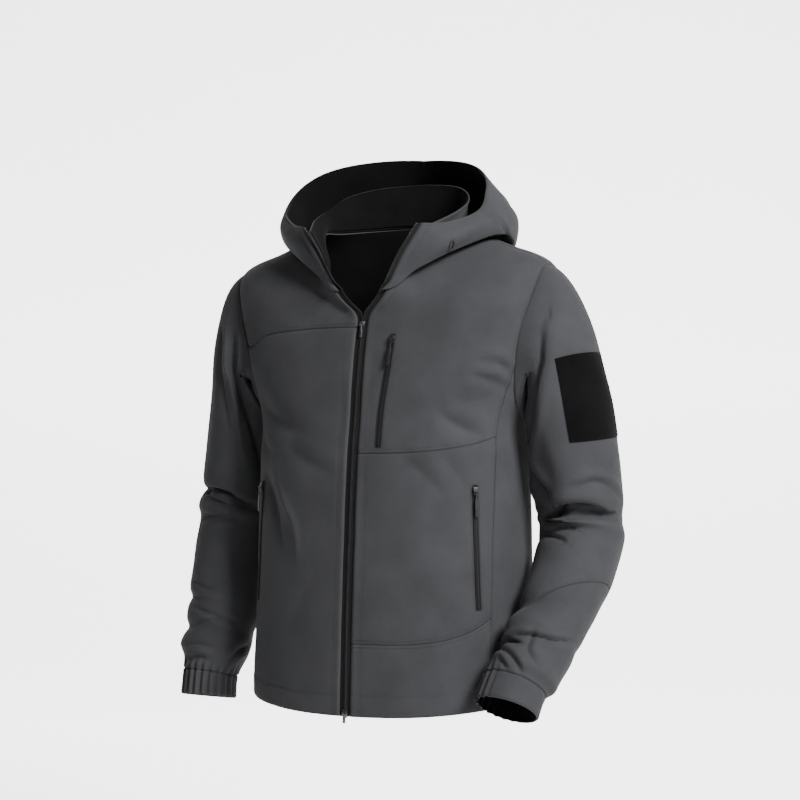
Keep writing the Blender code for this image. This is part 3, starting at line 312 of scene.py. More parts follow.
POCKET_TOOTH_SHIFT, POCKET_TOOTH_LIFT = 0.35, 0.05
POCKET_TEETH_START, POCKET_TEETH_END, POCKET_TEETH_STEP = 0.13, 0.985, 0.0125
POCKET_SINK, WELT, WELT_LIFT = -0.3, 2.2, 0.2
SLIDER_WIDTH, SLIDER_LENGTH, SLIDER_THICK = 8.0, 11.0, 2.2
SLIDER_LIFT, SLIDER_TAPER, SLIDER_BEVEL = -1.9, 0.74, 0.45
MAIN_SLIDER_LEVEL, HEM_SLIDER_LEVEL = 5.93, 0.06
POCKET_SLIDER_SHARE = 0.05
EAR_GAP, EAR_WIDTH, EAR_HEIGHT, EAR_LENGTH, EAR_SINK = 3.2, 1.92, 2.2, 3.0, 0.1
HINGE_LIFT = 1.4
PIN_RADIUS, PIN_REACH = 0.45, 0.6
PULL_OVERHANG, PULL_THICK, PULL_WIDTH = 0.9, 1.4, 2.4
PULL_BEVEL, PULL_SHARP, PULL_GRIP = 0.35, 0.6, 0.35
RIB_WIDTH_SHARE, RIB_LENGTH, RIB_RAISE, RIB_START, RIB_END = 0.8, 0.9, 0.5, 0.5, 0.9
PullTab = namedtuple("PullTab", "length end_width ribs")
MAIN_PULL = PullTab(17, 4.6, 0)
HEM_PULL = PullTab(13, 4.2, 0)
CHEST_PULL = PullTab(36, 5.0, 6)
HAND_PULL = PullTab(34, 4.4, 6)

# Sleeve patch and hood eyelet
PATCH_ALONG, PATCH_HALF_ALONG = 0.62, 0.77
PATCH_AROUND, PATCH_HALF_AROUND = 0.065, 0.115
PATCH_THICK, PATCH_LIFT, PATCH_RISE = 1.0, 0.8, 0.055
PATCH_EDGE_DROP, PATCH_EDGE_ROLL = 0.5, 1.2
PATCH_STITCH, PATCH_STITCH_DROP, PATCH_STITCH_ROLL = 3, 0.3, 0.9
EYELET_ACROSS, EYELET_UP = 0.22, 0.56
EYELET_HALF_WIDTH, EYELET_HALF_HEIGHT, EYELET_BAND, EYELET_THICK = 4.0, 7.5, 2.2, 1.2
EYELET_LIFT, EYELET_SEGMENTS, EYELET_BEVEL, EYELET_SHARP = 1.2, 40, 0.35, 1.0

# Camera, floor and light, in metres
CAMERA_TURN, CAMERA_DISTANCE, CAMERA_HEIGHT, CAMERA_SIDE = 27.0, 3.1, -0.2128, 0.0056
LENS, SENSOR = 99.6, 36.0
FLOOR_Z, FLOOR_HALF, BACK_DISTANCE, BACK_ROUND, BACK_TOP = -1.05, 4.0, 2.6, 0.9, 3.2
BACK_STEPS = 12
PAPER, PAPER_SHADE, PAPER_ROUGHNESS = 0.94, 0.985, 0.9
GLOW, GLOW_START, GLOW_END = 2.4, 0.3, 1.5
LightPlace = namedtuple("LightPlace", "name turn height distance size watts")
LIGHTS = (
    LightPlace("key_light", 62, 1.35, 2.6, 0.9, 385),
    LightPlace("front_light", 5, 1.2, 1.7, 1.0, 14),
    LightPlace("back_light", 200, 1.8, 2.2, 1.6, 25),
)
LIGHT_AIM_Z, WORLD_LIGHT = -0.25, 0.10


def mix(a, b, share):
    return a + (b - a) * share


def ease(value):
    value = np.clip(value, 0.0, 1.0)
    return value * value * (3 - 2 * value)


def unit(vectors):
    return vectors / np.maximum(np.linalg.norm(vectors, axis=-1, keepdims=True), 1e-9)


def mirror(points):
    return points * np.array((-1.0, 1.0, 1.0))


def power(value, exponent):
    return np.sign(value) * np.abs(value) ** exponent


def curve(start, leave, end, arrive, t):
    first, second = 2 * t**3 - 3 * t**2 + 1, t**3 - 2 * t**2 + t
    return first * start + second * leave + (1 - first) * end + (t**3 - t**2) * arrive


def smooth_rows(table, at):
    """Rows of a table at places between them, on a smooth curve through all of them."""
    table, at = np.asarray(table, float), np.asarray(at, float)
    last = len(table) - 1
    k = np.clip(np.floor(at).astype(int), 0, last - 1)
    t = (at - k).reshape(at.shape + (1,) * (table.ndim - 1))
    rows = [table[np.clip(k + i, 0, last)] for i in (-1, 0, 1, 2)]
    return curve(rows[1], (rows[2] - rows[0]) / 2, rows[2], (rows[3] - rows[1]) / 2, t)


def smooth_path(stops, share):
    """Points at shares of the length of smooth curves through stops, each stop an array of points."""
    stops = np.stack(stops)
    spans = np.linalg.norm(np.diff(stops, axis=0), axis=-1)
    lengths = np.concatenate((np.zeros_like(spans[:1]), np.cumsum(spans, axis=0)))
    at = share * lengths[-1]
    slopes = []
    last = len(stops) - 1
    for i in range(last + 1):
        low, high = max(i - 1, 0), min(i + 1, last)
        slopes.append((stops[high] - stops[low]) / (lengths[high] - lengths[low])[..., None])
    points = np.zeros_like(stops[0])
    for k in range(last):
        inside = (at >= lengths[k]) if k else np.full(at.shape, True)
        t = ((at - lengths[k]) / spans[k])[..., None]
        leave, arrive = (slope * spans[k][..., None] for slope in slopes[k:k + 2])
        piece = curve(stops[k], leave, stops[k + 1], arrive, t)
        points = np.where(inside[..., None], piece, points)
    return points


def front_open(turn, level):
    """How far the open neck has spread, from 0 to 1."""
    share = ease((level - SLIDER_LEVEL) / (NECK_LEVEL - SLIDER_LEVEL))
    fade = np.cos(np.radians(90 * np.minimum(turn, OPEN_TURN) / OPEN_TURN)) ** 2
    return np.where(turn < OPEN_TURN, share * fade, 0.0)


def body(turn, level):
    """Points of the body: turn in degrees from the front middle round past the left sleeve."""
    turn, level = np.broadcast_arrays(np.asarray(turn, float), np.asarray(level, float))
    numbers = np.moveaxis(smooth_rows(RING_NUMBERS, level), -1, 0)
    half_width, front, back, z_front, z_side, z_back, square = numbers
    sine, cosine = np.sin(np.radians(turn)), np.cos(np.radians(turn))
    ahead = cosine > 0
    x = half_width * power(sine, 2 / square)
    y = -np.where(ahead, front, back) * power(cosine, 2 / square)
    z = z_side + (np.where(ahead, z_front, z_back) - z_side) * cosine**2
    spread = front_open(turn, level)
    return np.stack((x + OPEN_SIDEWAYS * spread, y - OPEN_FORWARD * spread, z), -1)


def surface_normal(surface, u, v, step_u, step_v, u_range, v_range):
    along_u = surface(np.minimum(u + step_u, u_range[1]), v) - surface(np.maximum(u - step_u, u_range[0]), v)
    along_v = surface(u, np.minimum(v + step_v, v_range[1])) - surface(u, np.maximum(v - step_v, v_range[0]))
    return unit(np.cross(along_u, along_v))


def body_normal(turn, level):
    return surface_normal(body, turn, level, 0.6, 0.02, (0.3, 359.7), (0.0, NECK_LEVEL))


def level_at(turn, height):
    """Level at which the body reaches a height, found by halving."""
    turn, height = np.broadcast_arrays(np.asarray(turn, float), np.asarray(height, float))
    low, high = np.zeros(turn.shape), np.full(turn.shape, NECK_LEVEL)
    for _ in range(LEVEL_HALVINGS):
        middle = (low + high) / 2
        below = body(turn, middle)[..., 2] < height
        low, high = np.where(below, middle, low), np.where(below, high, middle)
    return (low + high) / 2


def armhole_place(step):
    angle = np.pi * np.asarray(step, float) / ARMHOLE_STEPS
    turn = ARMHOLE_TURN - ARMHOLE_LEAN * np.cos(angle) - ARMHOLE_HALF_TURN * np.sin(angle)
    return turn, ARMHOLE_LEVEL + ARMHOLE_HALF_LEVEL * np.cos(angle)


ARMHOLE_LEVELS = sorted(float(armhole_place(step)[1]) for step in range(ARMHOLE_STEPS + 1))


def upright_edge(level, hem_turn, step, sign):
    """Side seam, then the armhole's edge, then the shoulder seam."""
    top_turn, top_level = armhole_place(sign * step)
    c = np.clip((level - ARMHOLE_LEVEL) / ARMHOLE_HALF_LEVEL, -1.0, 1.0)
    hole = ARMHOLE_TURN - ARMHOLE_LEAN * c - sign * ARMHOLE_HALF_TURN * np.sqrt(1 - c * c)
    edge = np.where(level < top_level, mix(hem_turn, top_turn, level / top_level), hole)
    return np.where(level > ARMHOLE_LEVEL + ARMHOLE_HALF_LEVEL, SHOULDER_TURN, edge)


def side_front_edge(level):
    return upright_edge(level, SIDE_FRONT_HEM_TURN, SIDE_FRONT_STEP, 1)


def side_back_edge(level):
    return upright_edge(level, SIDE_BACK_HEM_TURN, SIDE_BACK_STEP, -1)


def zip_edge(level, back=0.0):
    numbers = smooth_rows(RING_NUMBERS, level)
    return np.degrees(np.arcsin(((ZIP_HALF + back) / numbers[..., 0]) ** (numbers[..., -1] / 2)))


def seam_level(seam, share):
    level = level_at(np.zeros_like(share), seam.middle)
    for _ in range(SEAM_ROUNDS):
        turn = mix(zip_edge(level), side_front_edge(level), share)
        level = level_at(turn, seam.middle + seam.rise * (turn / seam.turn) ** seam.power)
    return level


def shares_along(length, step, low=(0,), high=(0,)):
    """Places from 0 to 1 along a length, with the given distances kept near both ends."""
    low, high = [d for d in low if d < length / 2], [length - d for d in reversed(high) if d < length / 2]
    count = max(1, round((high[0] - low[-1]) / step))
    inside = [mix(low[-1], high[0], k / count) for k in range(1, count)]
    return np.array(low + inside + high) / length


# Body panels
def front_places(low, high, width):
    """Turn and level of a front panel's grid, with rows that follow the side seam and the armhole."""
    across = shares_along(width, CLOTH_STEP, PLACKET_STEPS, SEAM_STEPS)
    starts, ends = low(across), high(across)
    first, last = float(starts[-1]), float(ends[-1])
    stops = [level for level in ARMHOLE_LEVELS if first + 0.02 < level < last - 0.02]
    stops = [level for level in stops if level > float(armhole_place(SIDE_FRONT_STEP)[1]) - 0.02]
    marks = [first] + stops + [last]
    levels = [first]
    for a, b in zip(marks, marks[1:]):
        height = abs(float(body(60, b)[2] - body(60, a)[2]))
        ends_low = SEAM_STEPS if a == first else (0,)
        ends_high = SEAM_STEPS if b == last else (0,)
        if first == 0.0 and a == first:
            ends_low = HEM_STEPS
        levels += [mix(a, b, s) for s in shares_along(max(height, 1.0), CLOTH_STEP, ends_low, ends_high)[1:]]
    shares = (np.array(levels) - first) / (last - first)
    level = mix(starts[None, :], ends[None, :], shares[:, None])
    turn = mix(zip_edge(level, PLACKET_BACK), side_front_edge(level), across[None, :])
    return turn, level


def side_places():
    steps = np.concatenate((np.arange(SIDE_FRONT_STEP, ARMHOLE_STEPS + 1),
                            2 * ARMHOLE_STEPS - np.arange(ARMHOLE_STEPS - 1, SIDE_BACK_STEP - 1, -1)))
    share = np.linspace(0, 1, len(steps))
    steps = np.interp(shares_along(SIDE_WIDTH, CLOTH_STEP, SEAM_STEPS, SEAM_STEPS), share, steps)
    across = np.interp(steps, (SIDE_FRONT_STEP, 2 * ARMHOLE_STEPS - SIDE_BACK_STEP), (0, 1))
    top_turn, top_level = armhole_place(steps)
    up = shares_along(SIDE_HEIGHT, CLOTH_STEP, HEM_STEPS, SEAM_STEPS)[:, None]
    turn = mix(mix(SIDE_FRONT_HEM_TURN, SIDE_BACK_HEM_TURN, across)[None, :], top_turn[None, :], up)
    return turn, top_level[None, :] * up


def back_places():
    side_top = float(armhole_place(SIDE_BACK_STEP)[1])
    marks = [0.0] + [level for level in ARMHOLE_LEVELS if level > side_top - 1e-6] + [NECK_LEVEL]
    levels = [0.0]
    for a, b in zip(marks, marks[1:]):
        height = abs(float(body(120, b)[2] - body(120, a)[2]))
        low = HEM_STEPS if a == 0.0 else (0,)
        levels += [mix(a, b, s) for s in shares_along(max(height, 1.0), BACK_STEP, low)[1:]]
    level = np.array(levels)[:, None]
    edge = side_back_edge(level)
    across = shares_along(BACK_WIDTH, BACK_STEP, SEAM_STEPS, SEAM_STEPS)[None, :]
    return mix(edge, 360 - edge, across), np.broadcast_to(level, (len(levels), across.shape[1]))


# Sleeves, always built as if on the left
def arm_frame(sections, along):
    middle = smooth_rows(sections, along)[..., :3]
    ahead, behind = (smooth_rows(sections, along + step)[..., :3] for step in (SECTION_STEP, -SECTION_STEP))
    direction = unit(ahead - behind)
    outward = np.array((1.0, 0, 0))
    outward = unit(outward - direction * direction[..., :1])
    return middle, outward, np.cross(direction, outward)


def fold_height(folds, around, along):
    total = np.zeros(np.broadcast(around, along).shape)
    for fold in folds:
        turn = (around - fold.around + 0.5) % 1.0 - 0.5
        offset = along - fold.along - fold.slant * turn
        total += fold.height * np.exp(-((offset / fold.long_half) ** 2) - (turn / fold.round_half) ** 2)
    return total


class Arm:
    """One sleeve's tables and its surface."""

    def __init__(self, side):
        left = side > 0
        self.side = side
        self.sections = np.array(LEFT_SECTIONS if left else RIGHT_SECTIONS, float)
        self.folds = LEFT_FOLDS if left else RIGHT_FOLDS
        self.gather = LEFT_GATHER if left else RIGHT_GATHER
        self.reach = LEFT_CAP_REACH if left else RIGHT_CAP_REACH
        self.creases = LEFT_CREASES if left else RIGHT_CREASES

    def tube(self, around, along):
        """Below the cap, with the large folds and the cuff's gathers."""
        around, along = np.broadcast_arrays(np.asarray(around, float), np.asarray(along, float))
        middle, outward, forward = arm_frame(self.sections, along)
        outer, inner, front, back = np.moveaxis(smooth_rows(self.sections, along)[..., 3:], -1, 0)
        cosine, sine = np.cos(2 * np.pi * around), np.sin(2 * np.pi * around)
        reach_out = cosine * np.where(cosine > 0, outer, inner)
        reach_on = sine * np.where(sine > 0, front, back)
        point = middle + outward * reach_out[..., None] + forward * reach_on[..., None]
        fade = 1 - ease((along - CUFF_SEAM + GATHER_START) / GATHER_START)
        height = fold_height(self.folds, around, along) * fade
        place = (around - self.gather.start) % 1.0 / (self.gather.end - self.gather.start)
        swell = self.gather.height * np.sin(np.pi * np.clip(place, 0, 1)) ** 0.5 * (1 - fade)
        height = height + np.where(place < 1, swell * np.cos(2 * np.pi * self.gather.count * place), 0)
        return point + unit(point - middle) * height[..., None]

    def cap(self, around, share):
        """From the armhole (share 0) to the first section (share 1)."""
        around, share = np.broadcast_arrays(np.asarray(around, float), np.asarray(share, float))
        start = body(*armhole_place(2 * ARMHOLE_STEPS * around)) + np.array((SEAM_GAP, 0, 0))
        end = self.tube(around, 0.0)
        top = (1 + np.cos(2 * np.pi * around)) / 2
        zero = np.zeros_like(top)
        out = mix(CAP_UNDER_OUT, self.reach, top)
        leave = np.stack((out, zero, mix(CAP_UNDER_DOWN, CAP_TOP_FALL * self.reach, top)), -1)
        slope = (self.tube(around, SECTION_STEP) - self.tube(around, -SECTION_STEP)) / (2 * SECTION_STEP)
        arrive = slope * mix(CAP_ARRIVE_UNDER, CAP_ARRIVE_TOP, top)[..., None]
        return curve(start, leave, end, arrive, share[..., None])

    def at(self, around, along):
        """Anywhere on the sleeve: along below 0 is on the cap."""
        around, along = np.broadcast_arrays(np.asarray(around, float), np.asarray(along, float))
        cap = self.cap(around, np.clip(1 + along, 0, 1))
        return np.where((along < 0)[..., None], cap, self.tube(around, np.maximum(along, 0)))

    def line(self, places):
        return self.at(places[:, 0] % 1.0, places[:, 1])


def forearm_seam(around):
    return FOREARM_SEAM + FOREARM_TILT * np.cos(2 * np.pi * (around - FOREARM_LOW))


# Hood and collar
HOOD_TURNS = [[section.turn] for section in HOOD_SECTIONS] + [[360 - HOOD_SECTIONS[-2].turn]]
HOOD_POINTS = [np.array((s.fold, s.belly, s.rim), float) for s in HOOD_SECTIONS]
HOOD_POINTS.append(mirror(HOOD_POINTS[-2]))
COLLAR_TURNS = [[section.turn] for section in COLLAR_SECTIONS] + [[360 - COLLAR_SECTIONS[-2].turn]]
COLLAR_TOPS = [np.array(section.top, float) for section in COLLAR_SECTIONS]
COLLAR_TOPS.append(mirror(COLLAR_TOPS[-2]))


def hood(across, up):
    """Across from the left front edge (0) behind the neck (1) to the right front edge (2), up to the rim."""
    across, up = np.broadcast_arrays(np.asarray(across, float), np.asarray(up, float))
    right = across > 1
    near = np.where(right, 2 - across, across)
    place = near * (len(HOOD_SECTIONS) - 1)
    fold, belly, rim = np.moveaxis(smooth_rows(HOOD_POINTS, place), -2, 0)
    turn = smooth_rows(HOOD_TURNS, place)[..., 0]
    normal = body_normal(turn, np.full_like(turn, HOOD_START))
    seam = body(turn, HOOD_START) + normal * HOOD_LIFT
    seat = mix(seam, fold, HOOD_SEAT_SHARE) + normal * (HOOD_SEAT * ease(2 * near - 0.3))[..., None]
    points = smooth_path((seam, seat, fold, belly, rim), up)
    shift = np.where(right, up**2 * np.sin(np.pi * near), 0)
    points = points + RIGHT_RIM_SHIFT * shift[..., None]
    return np.where(right[..., None], mirror(points), points)


def hood_normal(across, up):
    return surface_normal(hood, across, up, 0.01, 0.02, (0, 2), (0, 1))


def collar(across, up):
    across, up = np.broadcast_arrays(np.asarray(across, float), np.asarray(up, float))
    right = across > 1
    near = np.where(right, 2 - across, across)
    place = near * (len(COLLAR_SECTIONS) - 1)
    turn = smooth_rows(COLLAR_TURNS, place)[..., 0]
    base = body(turn, NECK_LEVEL) + np.array((0, 0, COLLAR_LIFT))
    top = smooth_rows(COLLAR_TOPS, place)
    flat = np.array((1, 1, 0))
    lean = unit((top - base) * flat + base * flat * 0.01)
    points = mix(base, top, up[..., None]) - lean * (np.sin(np.pi * up) * COLLAR_BULGE)[..., None]
    return np.where(right[..., None], mirror(points), points)


# Cloth grids: rows of points with unit normals, and what happens to them
def grid_normals(points, ring=False, flip=False):
    down = np.gradient(points, axis=0)
    if ring:
        across = np.roll(points, -1, axis=1) - np.roll(points, 1, axis=1)
    else:
        across = np.gradient(points, axis=1)
    normals = unit(np.cross(across, down))
    return -normals if flip else normals


def running_length(points, axis):
    """Distance of every grid point from the first row or column, along the grid."""
    steps = np.linalg.norm(np.diff(points, axis=axis), axis=-1)
    pad = [(0, 0), (0, 0)]
    pad[axis] = (1, 0)
    return np.cumsum(np.pad(steps, pad), axis=axis)


def edge_axis(side):
    return 0 if side in ("low", "high") else 1


def edge_distance(points, side):
    """Distance of every grid point from one edge, along the grid."""
    axis = edge_axis(side)
    along = running_length(points, axis)
    if side in ("high", "last"):
        along = np.take(along, [-1], axis=axis) - along
    return along


def add_crease(points, normals, path, crease):
    """Height of one crease at every point, from its distance to the crease's path."""
    flat, out = points.reshape(-1, 3), normals.reshape(-1, 3)
    reach = max(CREASE_REACH * crease.width, LAP_REACH * crease.lap)
    near = np.all((flat > path.min(0) - reach) & (flat < path.max(0) + reach), axis=1)
    height = np.zeros(len(flat))
    if not near.any():
        return height.reshape(points.shape[:-1])
    p, n = flat[near], out[near]
    best = np.full(len(p), 1e9)
    place, side = np.zeros(len(p)), np.ones(len(p))
    last = len(path) - 1
    for k in range(last):
        step = path[k + 1] - path[k]
        t = np.clip(((p - path[k]) @ step) / (step @ step), 0, 1)
        off = p - path[k] - t[:, None] * step
        distance = np.linalg.norm(off, axis=1)
        closer = distance < best
        best = np.where(closer, distance, best)
        place = np.where(closer, (k + t) / last, place)
        side = np.where(closer, np.sign(np.sum(np.cross(step, off) * n, axis=1)), side)
    taper = np.sin(np.pi * np.clip(place, CREASE_END, 1 - CREASE_END)) ** CREASE_TAPER
    across, width = side * best, crease.width
    if crease.lap:
        beyond = np.maximum(across - width, 0)
        step_down = np.clip(across / width, 0, 1) * np.exp(-beyond / crease.lap)
        lip = np.exp(-(((across + LIP_REACH) / LIP_REACH) ** 2))
        height[near] = taper * (crease.ridge * lip - crease.depth * step_down)
        return height.reshape(points.shape[:-1])
    trough = np.exp(CREASE_ROUND - np.sqrt((CREASE_SHARP * best / width) ** 2 + CREASE_ROUND**2))
    beside = np.exp(-(((across - RIDGE_PLACE * width) / (RIDGE_WIDTH * width)) ** 2))
    other = np.exp(-(((across + FAR_RIDGE_PLACE * width) / (FAR_RIDGE_WIDTH * width)) ** 2))
    height[near] = taper * (crease.ridge * (beside + FAR_RIDGE_SHARE * other) - crease.depth * trough)
    return height.reshape(points.shape[:-1])


def crease_path(crease, surface):
    places = smooth_rows(crease.path, np.linspace(0, len(crease.path) - 1, CREASE_POINTS))
    return surface(places)


def body_line(places):
    points = body(np.abs(places[:, 0]), level_at(np.abs(places[:, 0]), places[:, 1]))
    return np.where((places[:, :1] < 0), mirror(points), points)


def hood_line(places):
    return hood(places[:, 0], places[:, 1])


RUMPLE = [(unit(rng.normal(size=3)) * 2 * np.pi / rng.uniform(*RUMPLE_LENGTHS), rng.uniform(0, 2 * np.pi))
          for _ in range(RUMPLE_WAVES)]


def rumple(points, height):
    """Slight unevenness of cloth that hangs free."""
    return height * sum(np.sin(points @ wave + phase) for wave, phase in RUMPLE) / math.sqrt(RUMPLE_WAVES)


def cloth_lift(points, normals, paths, height):
    """How far creases and unevenness move the cloth out of its plain form."""
    lift = rumple(points, height)
    for crease, path in paths:
        lift = lift + add_crease(points, normals, path, crease)
    return lift


Edge = namedtuple("Edge", "side stitch raise_by drop")


def dress(points, ring, flip, paths, edges, height):
    """Creases, rolled edges and sewn lines on a grid. Gives back points, normals and the stitch lines."""
    normals = grid_normals(points, ring, flip)
    lift = cloth_lift(points, normals, paths, height)
    distances = {edge.side: edge_distance(points, edge.side) for edge in edges}
    for edge in edges:
        d = distances[edge.side]
        lift = lift - edge.drop * np.exp(-((d / SEAM_ROLL) ** 2))
        if edge.stitch:
            wave = points @ RUMPLE[0][0] * RIPPLE_FINE + points @ RUMPLE[1][0] * RIPPLE_BROAD
            ripple = 1 + RIPPLE * np.sin(wave)
            lift = lift - STITCH_DROP * ripple * np.exp(-(((d - edge.stitch) / STITCH_ROLL) ** 2))
            lift = lift + PUCKER * (ripple - 1) * np.exp(-(((d - edge.stitch) / PUCKER_ROLL) ** 2))
            lift = lift + edge.raise_by * ease((edge.stitch - d) / RAISE_EASE)
    points = points + normals * lift[..., None]
    normals = grid_normals(points, ring, flip)
    lines = []
    for edge in edges:
        if edge.stitch:
            d = distances[edge.side]
            lines.append(stitch_line(points, normals, d, edge))
    return points, normals, lines


def stitch_line(points, normals, distance, edge):
    """Points and normals along the sewn line that runs at the edge's stitch distance."""
    if edge.side in ("low", "high"):
        row = np.abs(distance - edge.stitch).argmin(axis=0)
        index = (row, np.arange(points.shape[1]))
    else:
        column = np.abs(distance - edge.stitch).argmin(axis=1)
        index = (np.arange(points.shape[0]), column)
    return points[index], normals[index]


# Materials
def node_material(name):
    material = bpy.data.materials.new(name)
    material.use_nodes = True
    tree = material.node_tree
    return material, tree, tree.nodes["Principled BSDF"]


def noise(tree, vector, scale, detail, roughness=0.55):
    node = tree.nodes.new("ShaderNodeTexNoise")
    node.inputs["Scale"].default_value = scale
    node.inputs["Detail"].default_value = detail
    node.inputs["Roughness"].default_value = roughness
    tree.links.new(vector, node.inputs["Vector"])
    return node.outputs["Fac"]


def ramp(tree, value, low, high, colours):
    node = tree.nodes.new("ShaderNodeValToRGB")
    for element, place, colour in zip(node.color_ramp.elements, (low, high), colours):
        element.position = place
        element.color = (*colour, 1)
    tree.links.new(value, node.inputs["Fac"])
    return node.outputs["Color"]


def add_bump(tree, shader, height, strength, distance, before=None):
    node = tree.nodes.new("ShaderNodeBump")
    node.inputs["Strength"].default_value = strength
    node.inputs["Distance"].default_value = distance
    tree.links.new(height, node.inputs["Height"])
    if before is not None:
        tree.links.new(before, node.inputs["Normal"])
    tree.links.new(node.outputs["Normal"], shader.inputs["Normal"])
    return node.outputs["Normal"]


def coordinates(tree, kind):
    return tree.nodes.new("ShaderNodeTexCoord").outputs[kind]


def weave(tree, uv, scale):
    """Twill lines: two crossed bands on the cloth's own flat coordinates."""
    outputs = []
    for direction in ("X", "DIAGONAL"):
        node = tree.nodes.new("ShaderNodeTexWave")
        node.bands_direction = direction
        node.inputs["Scale"].default_value = scale
        node.inputs["Distortion"].default_value = 0.4
        tree.links.new(uv, node.inputs["Vector"])
        outputs.append(node.outputs["Fac"])
    both = tree.nodes.new("ShaderNodeMath")
    both.operation = "MULTIPLY"
    tree.links.new(outputs[0], both.inputs[0])
    tree.links.new(outputs[1], both.inputs[1])
    return both.outputs[0]


def cloth_material(name, colours, roughness, specular, nap_scale, nap_depth, weave_scale=0, weave_depth=0):
    """Woven or napped cloth: uneven colour, fine weave and soft unevenness."""
    material, tree, shader = node_material(name)
    place, uv = coordinates(tree, "Object"), coordinates(tree, "UV")
    blotch = noise(tree, place, 22, 4)
    grain = noise(tree, place, 900, 2, 0.7)
    both = tree.nodes.new("ShaderNodeMix")
    both.data_type = "FLOAT"
    both.inputs["Factor"].default_value = 0.45
    tree.links.new(blotch, both.inputs["A"])
    tree.links.new(grain, both.inputs["B"])
    tree.links.new(ramp(tree, both.outputs["Result"], 0.34, 0.66, colours), shader.inputs["Base Color"])
    shader.inputs["Roughness"].default_value = roughness
    shader.inputs["Specular IOR Level"].default_value = specular
    shader.inputs["Sheen Weight"].default_value = 0.02
    nap = add_bump(tree, shader, noise(tree, place, nap_scale, 5), 0.35, nap_depth)
    if weave_scale:
        add_bump(tree, shader, weave(tree, uv, weave_scale), 0.5, weave_depth, nap)
    return material


def hard_material(name, colours, roughness, metallic):
    """Metal or moulded plastic with handled, slightly uneven gloss."""
    material, tree, shader = node_material(name)
    place = coordinates(tree, "Object")
    wear = noise(tree, place, 260, 4)
    tree.links.new(ramp(tree, wear, 0.35, 0.7, colours), shader.inputs["Base Color"])
    gloss = tree.nodes.new("ShaderNodeMapRange")
    gloss.inputs["To Min"].default_value = roughness - 0.08
    gloss.inputs["To Max"].default_value = roughness + 0.12
    tree.links.new(wear, gloss.inputs["Value"])
    tree.links.new(gloss.outputs["Result"], shader.inputs["Roughness"])
    shader.inputs["Metallic"].default_value = metallic
    shader.inputs["Specular IOR Level"].default_value = 0.22
    add_bump(tree, shader, noise(tree, place, 1400, 2), 0.15, 0.0001)
    return material


SOFTSHELL = cloth_material(
    "softshell_cloth", ((0.0150, 0.0152, 0.0166), (0.0215, 0.0217, 0.0237)),
    roughness=0.85, specular=0.12, nap_scale=240, nap_depth=0.0003, weave_scale=340, weave_depth=0.0002)
INSIDE = cloth_material(
    "inside_cloth", ((0.0012, 0.0012, 0.0012), (0.0028, 0.0028, 0.0028)),
    roughness=0.95, specular=0.04, nap_scale=500, nap_depth=0.0008)
TAPE = cloth_material(
    "zip_tape_cloth", ((0.0016, 0.0016, 0.0018), (0.0034, 0.0034, 0.0037)),
    roughness=0.75, specular=0.10, nap_scale=300, nap_depth=0.0002, weave_scale=420, weave_depth=0.0002)
PATCH = cloth_material(
    "loop_patch_cloth", ((0.0010, 0.0010, 0.0011), (0.0022, 0.0022, 0.0025)),
    roughness=0.97, specular=0.03, nap_scale=700, nap_depth=0.0010)
THREAD = cloth_material(
    "sewing_thread", ((0.012, 0.012, 0.0135), (0.020, 0.0205, 0.022)),
    roughness=0.7, specular=0.15, nap_scale=900, nap_depth=0.0002)
METAL = hard_material(
    "zip_metal_dark", ((0.10, 0.10, 0.103), (0.19, 0.19, 0.196)), roughness=0.3, metallic=1.0)
TEETH = hard_material(
    "zip_teeth_plastic", ((0.0030, 0.0030, 0.0030), (0.0075, 0.0074, 0.0072)), roughness=0.45, metallic=0.0)
RUBBER = hard_material(
    "pull_plastic", ((0.0045, 0.0045, 0.0050), (0.0100, 0.0100, 0.0108)), roughness=0.4, metallic=0.0)


# Cloth objects
def rim_faces(index, below, ring):
    """Faces that join the border of the outside grid to the border of the inside grid."""
    if ring:
        rims = [index[0], index[-1]]
    else:
        rims = [np.concatenate((index[0], index[1:, -1], index[-1, -2::-1], index[-2::-1, 0]))]
    bands = [np.stack((rim[:-1], rim[1:], rim[1:] + below, rim[:-1] + below), -1) for rim in rims]
    return np.concatenate(bands)


def shell(name, points, normals, thick, materials, ring=False):
    """A closed thin shell: an outside grid, an inside grid one thickness in, and the edges between them."""
    rows, columns = points.shape[:2]
    inside = points - normals * thick
    vertices = np.concatenate((points.reshape(-1, 3), inside.reshape(-1, 3))) * MM
    index = np.arange(rows * columns).reshape(rows, columns)
    if ring:
        index = np.concatenate((index, index[:, :1]), axis=1)
    outer = np.stack((index[:-1, :-1], index[:-1, 1:], index[1:, 1:], index[1:, :-1]), -1).reshape(-1, 4)
    if np.cross(points[0, 1] - points[0, 0], points[1, 0] - points[0, 0]) @ normals[0, 0] < 0:
        outer = outer[:, ::-1]
    inner = outer[:, ::-1] + rows * columns
    quads = np.concatenate((outer, inner, rim_faces(index, rows * columns, ring)))
    flat = np.stack((running_length(points, 1), running_length(points, 0)), -1).reshape(-1, 2) * MM
    flat = np.concatenate((flat, flat))
    mesh = bpy.data.meshes.new(name)
    mesh.from_pydata(vertices.tolist(), [], quads.tolist())
    layer = mesh.uv_layers.new(name="cloth")
    layer.data.foreach_set("uv", flat[quads.reshape(-1)].reshape(-1))
    look = np.zeros(len(quads), np.int32)
    look[len(outer):len(outer) + len(inner)] = len(materials) - 1
    mesh.polygons.foreach_set("material_index", look)
    for material in materials:
        mesh.materials.append(material)
    bm = bmesh.new()
    bm.from_mesh(mesh)
    bmesh.ops.recalc_face_normals(bm, faces=bm.faces)
    bm.to_mesh(mesh)
    bm.free()
    mesh.shade_smooth()
    mesh.set_sharp_from_angle(angle=math.radians(CLOTH_SHARP))
    item = bpy.data.objects.new(name, mesh)
    bpy.context.scene.collection.objects.link(item)
    return item


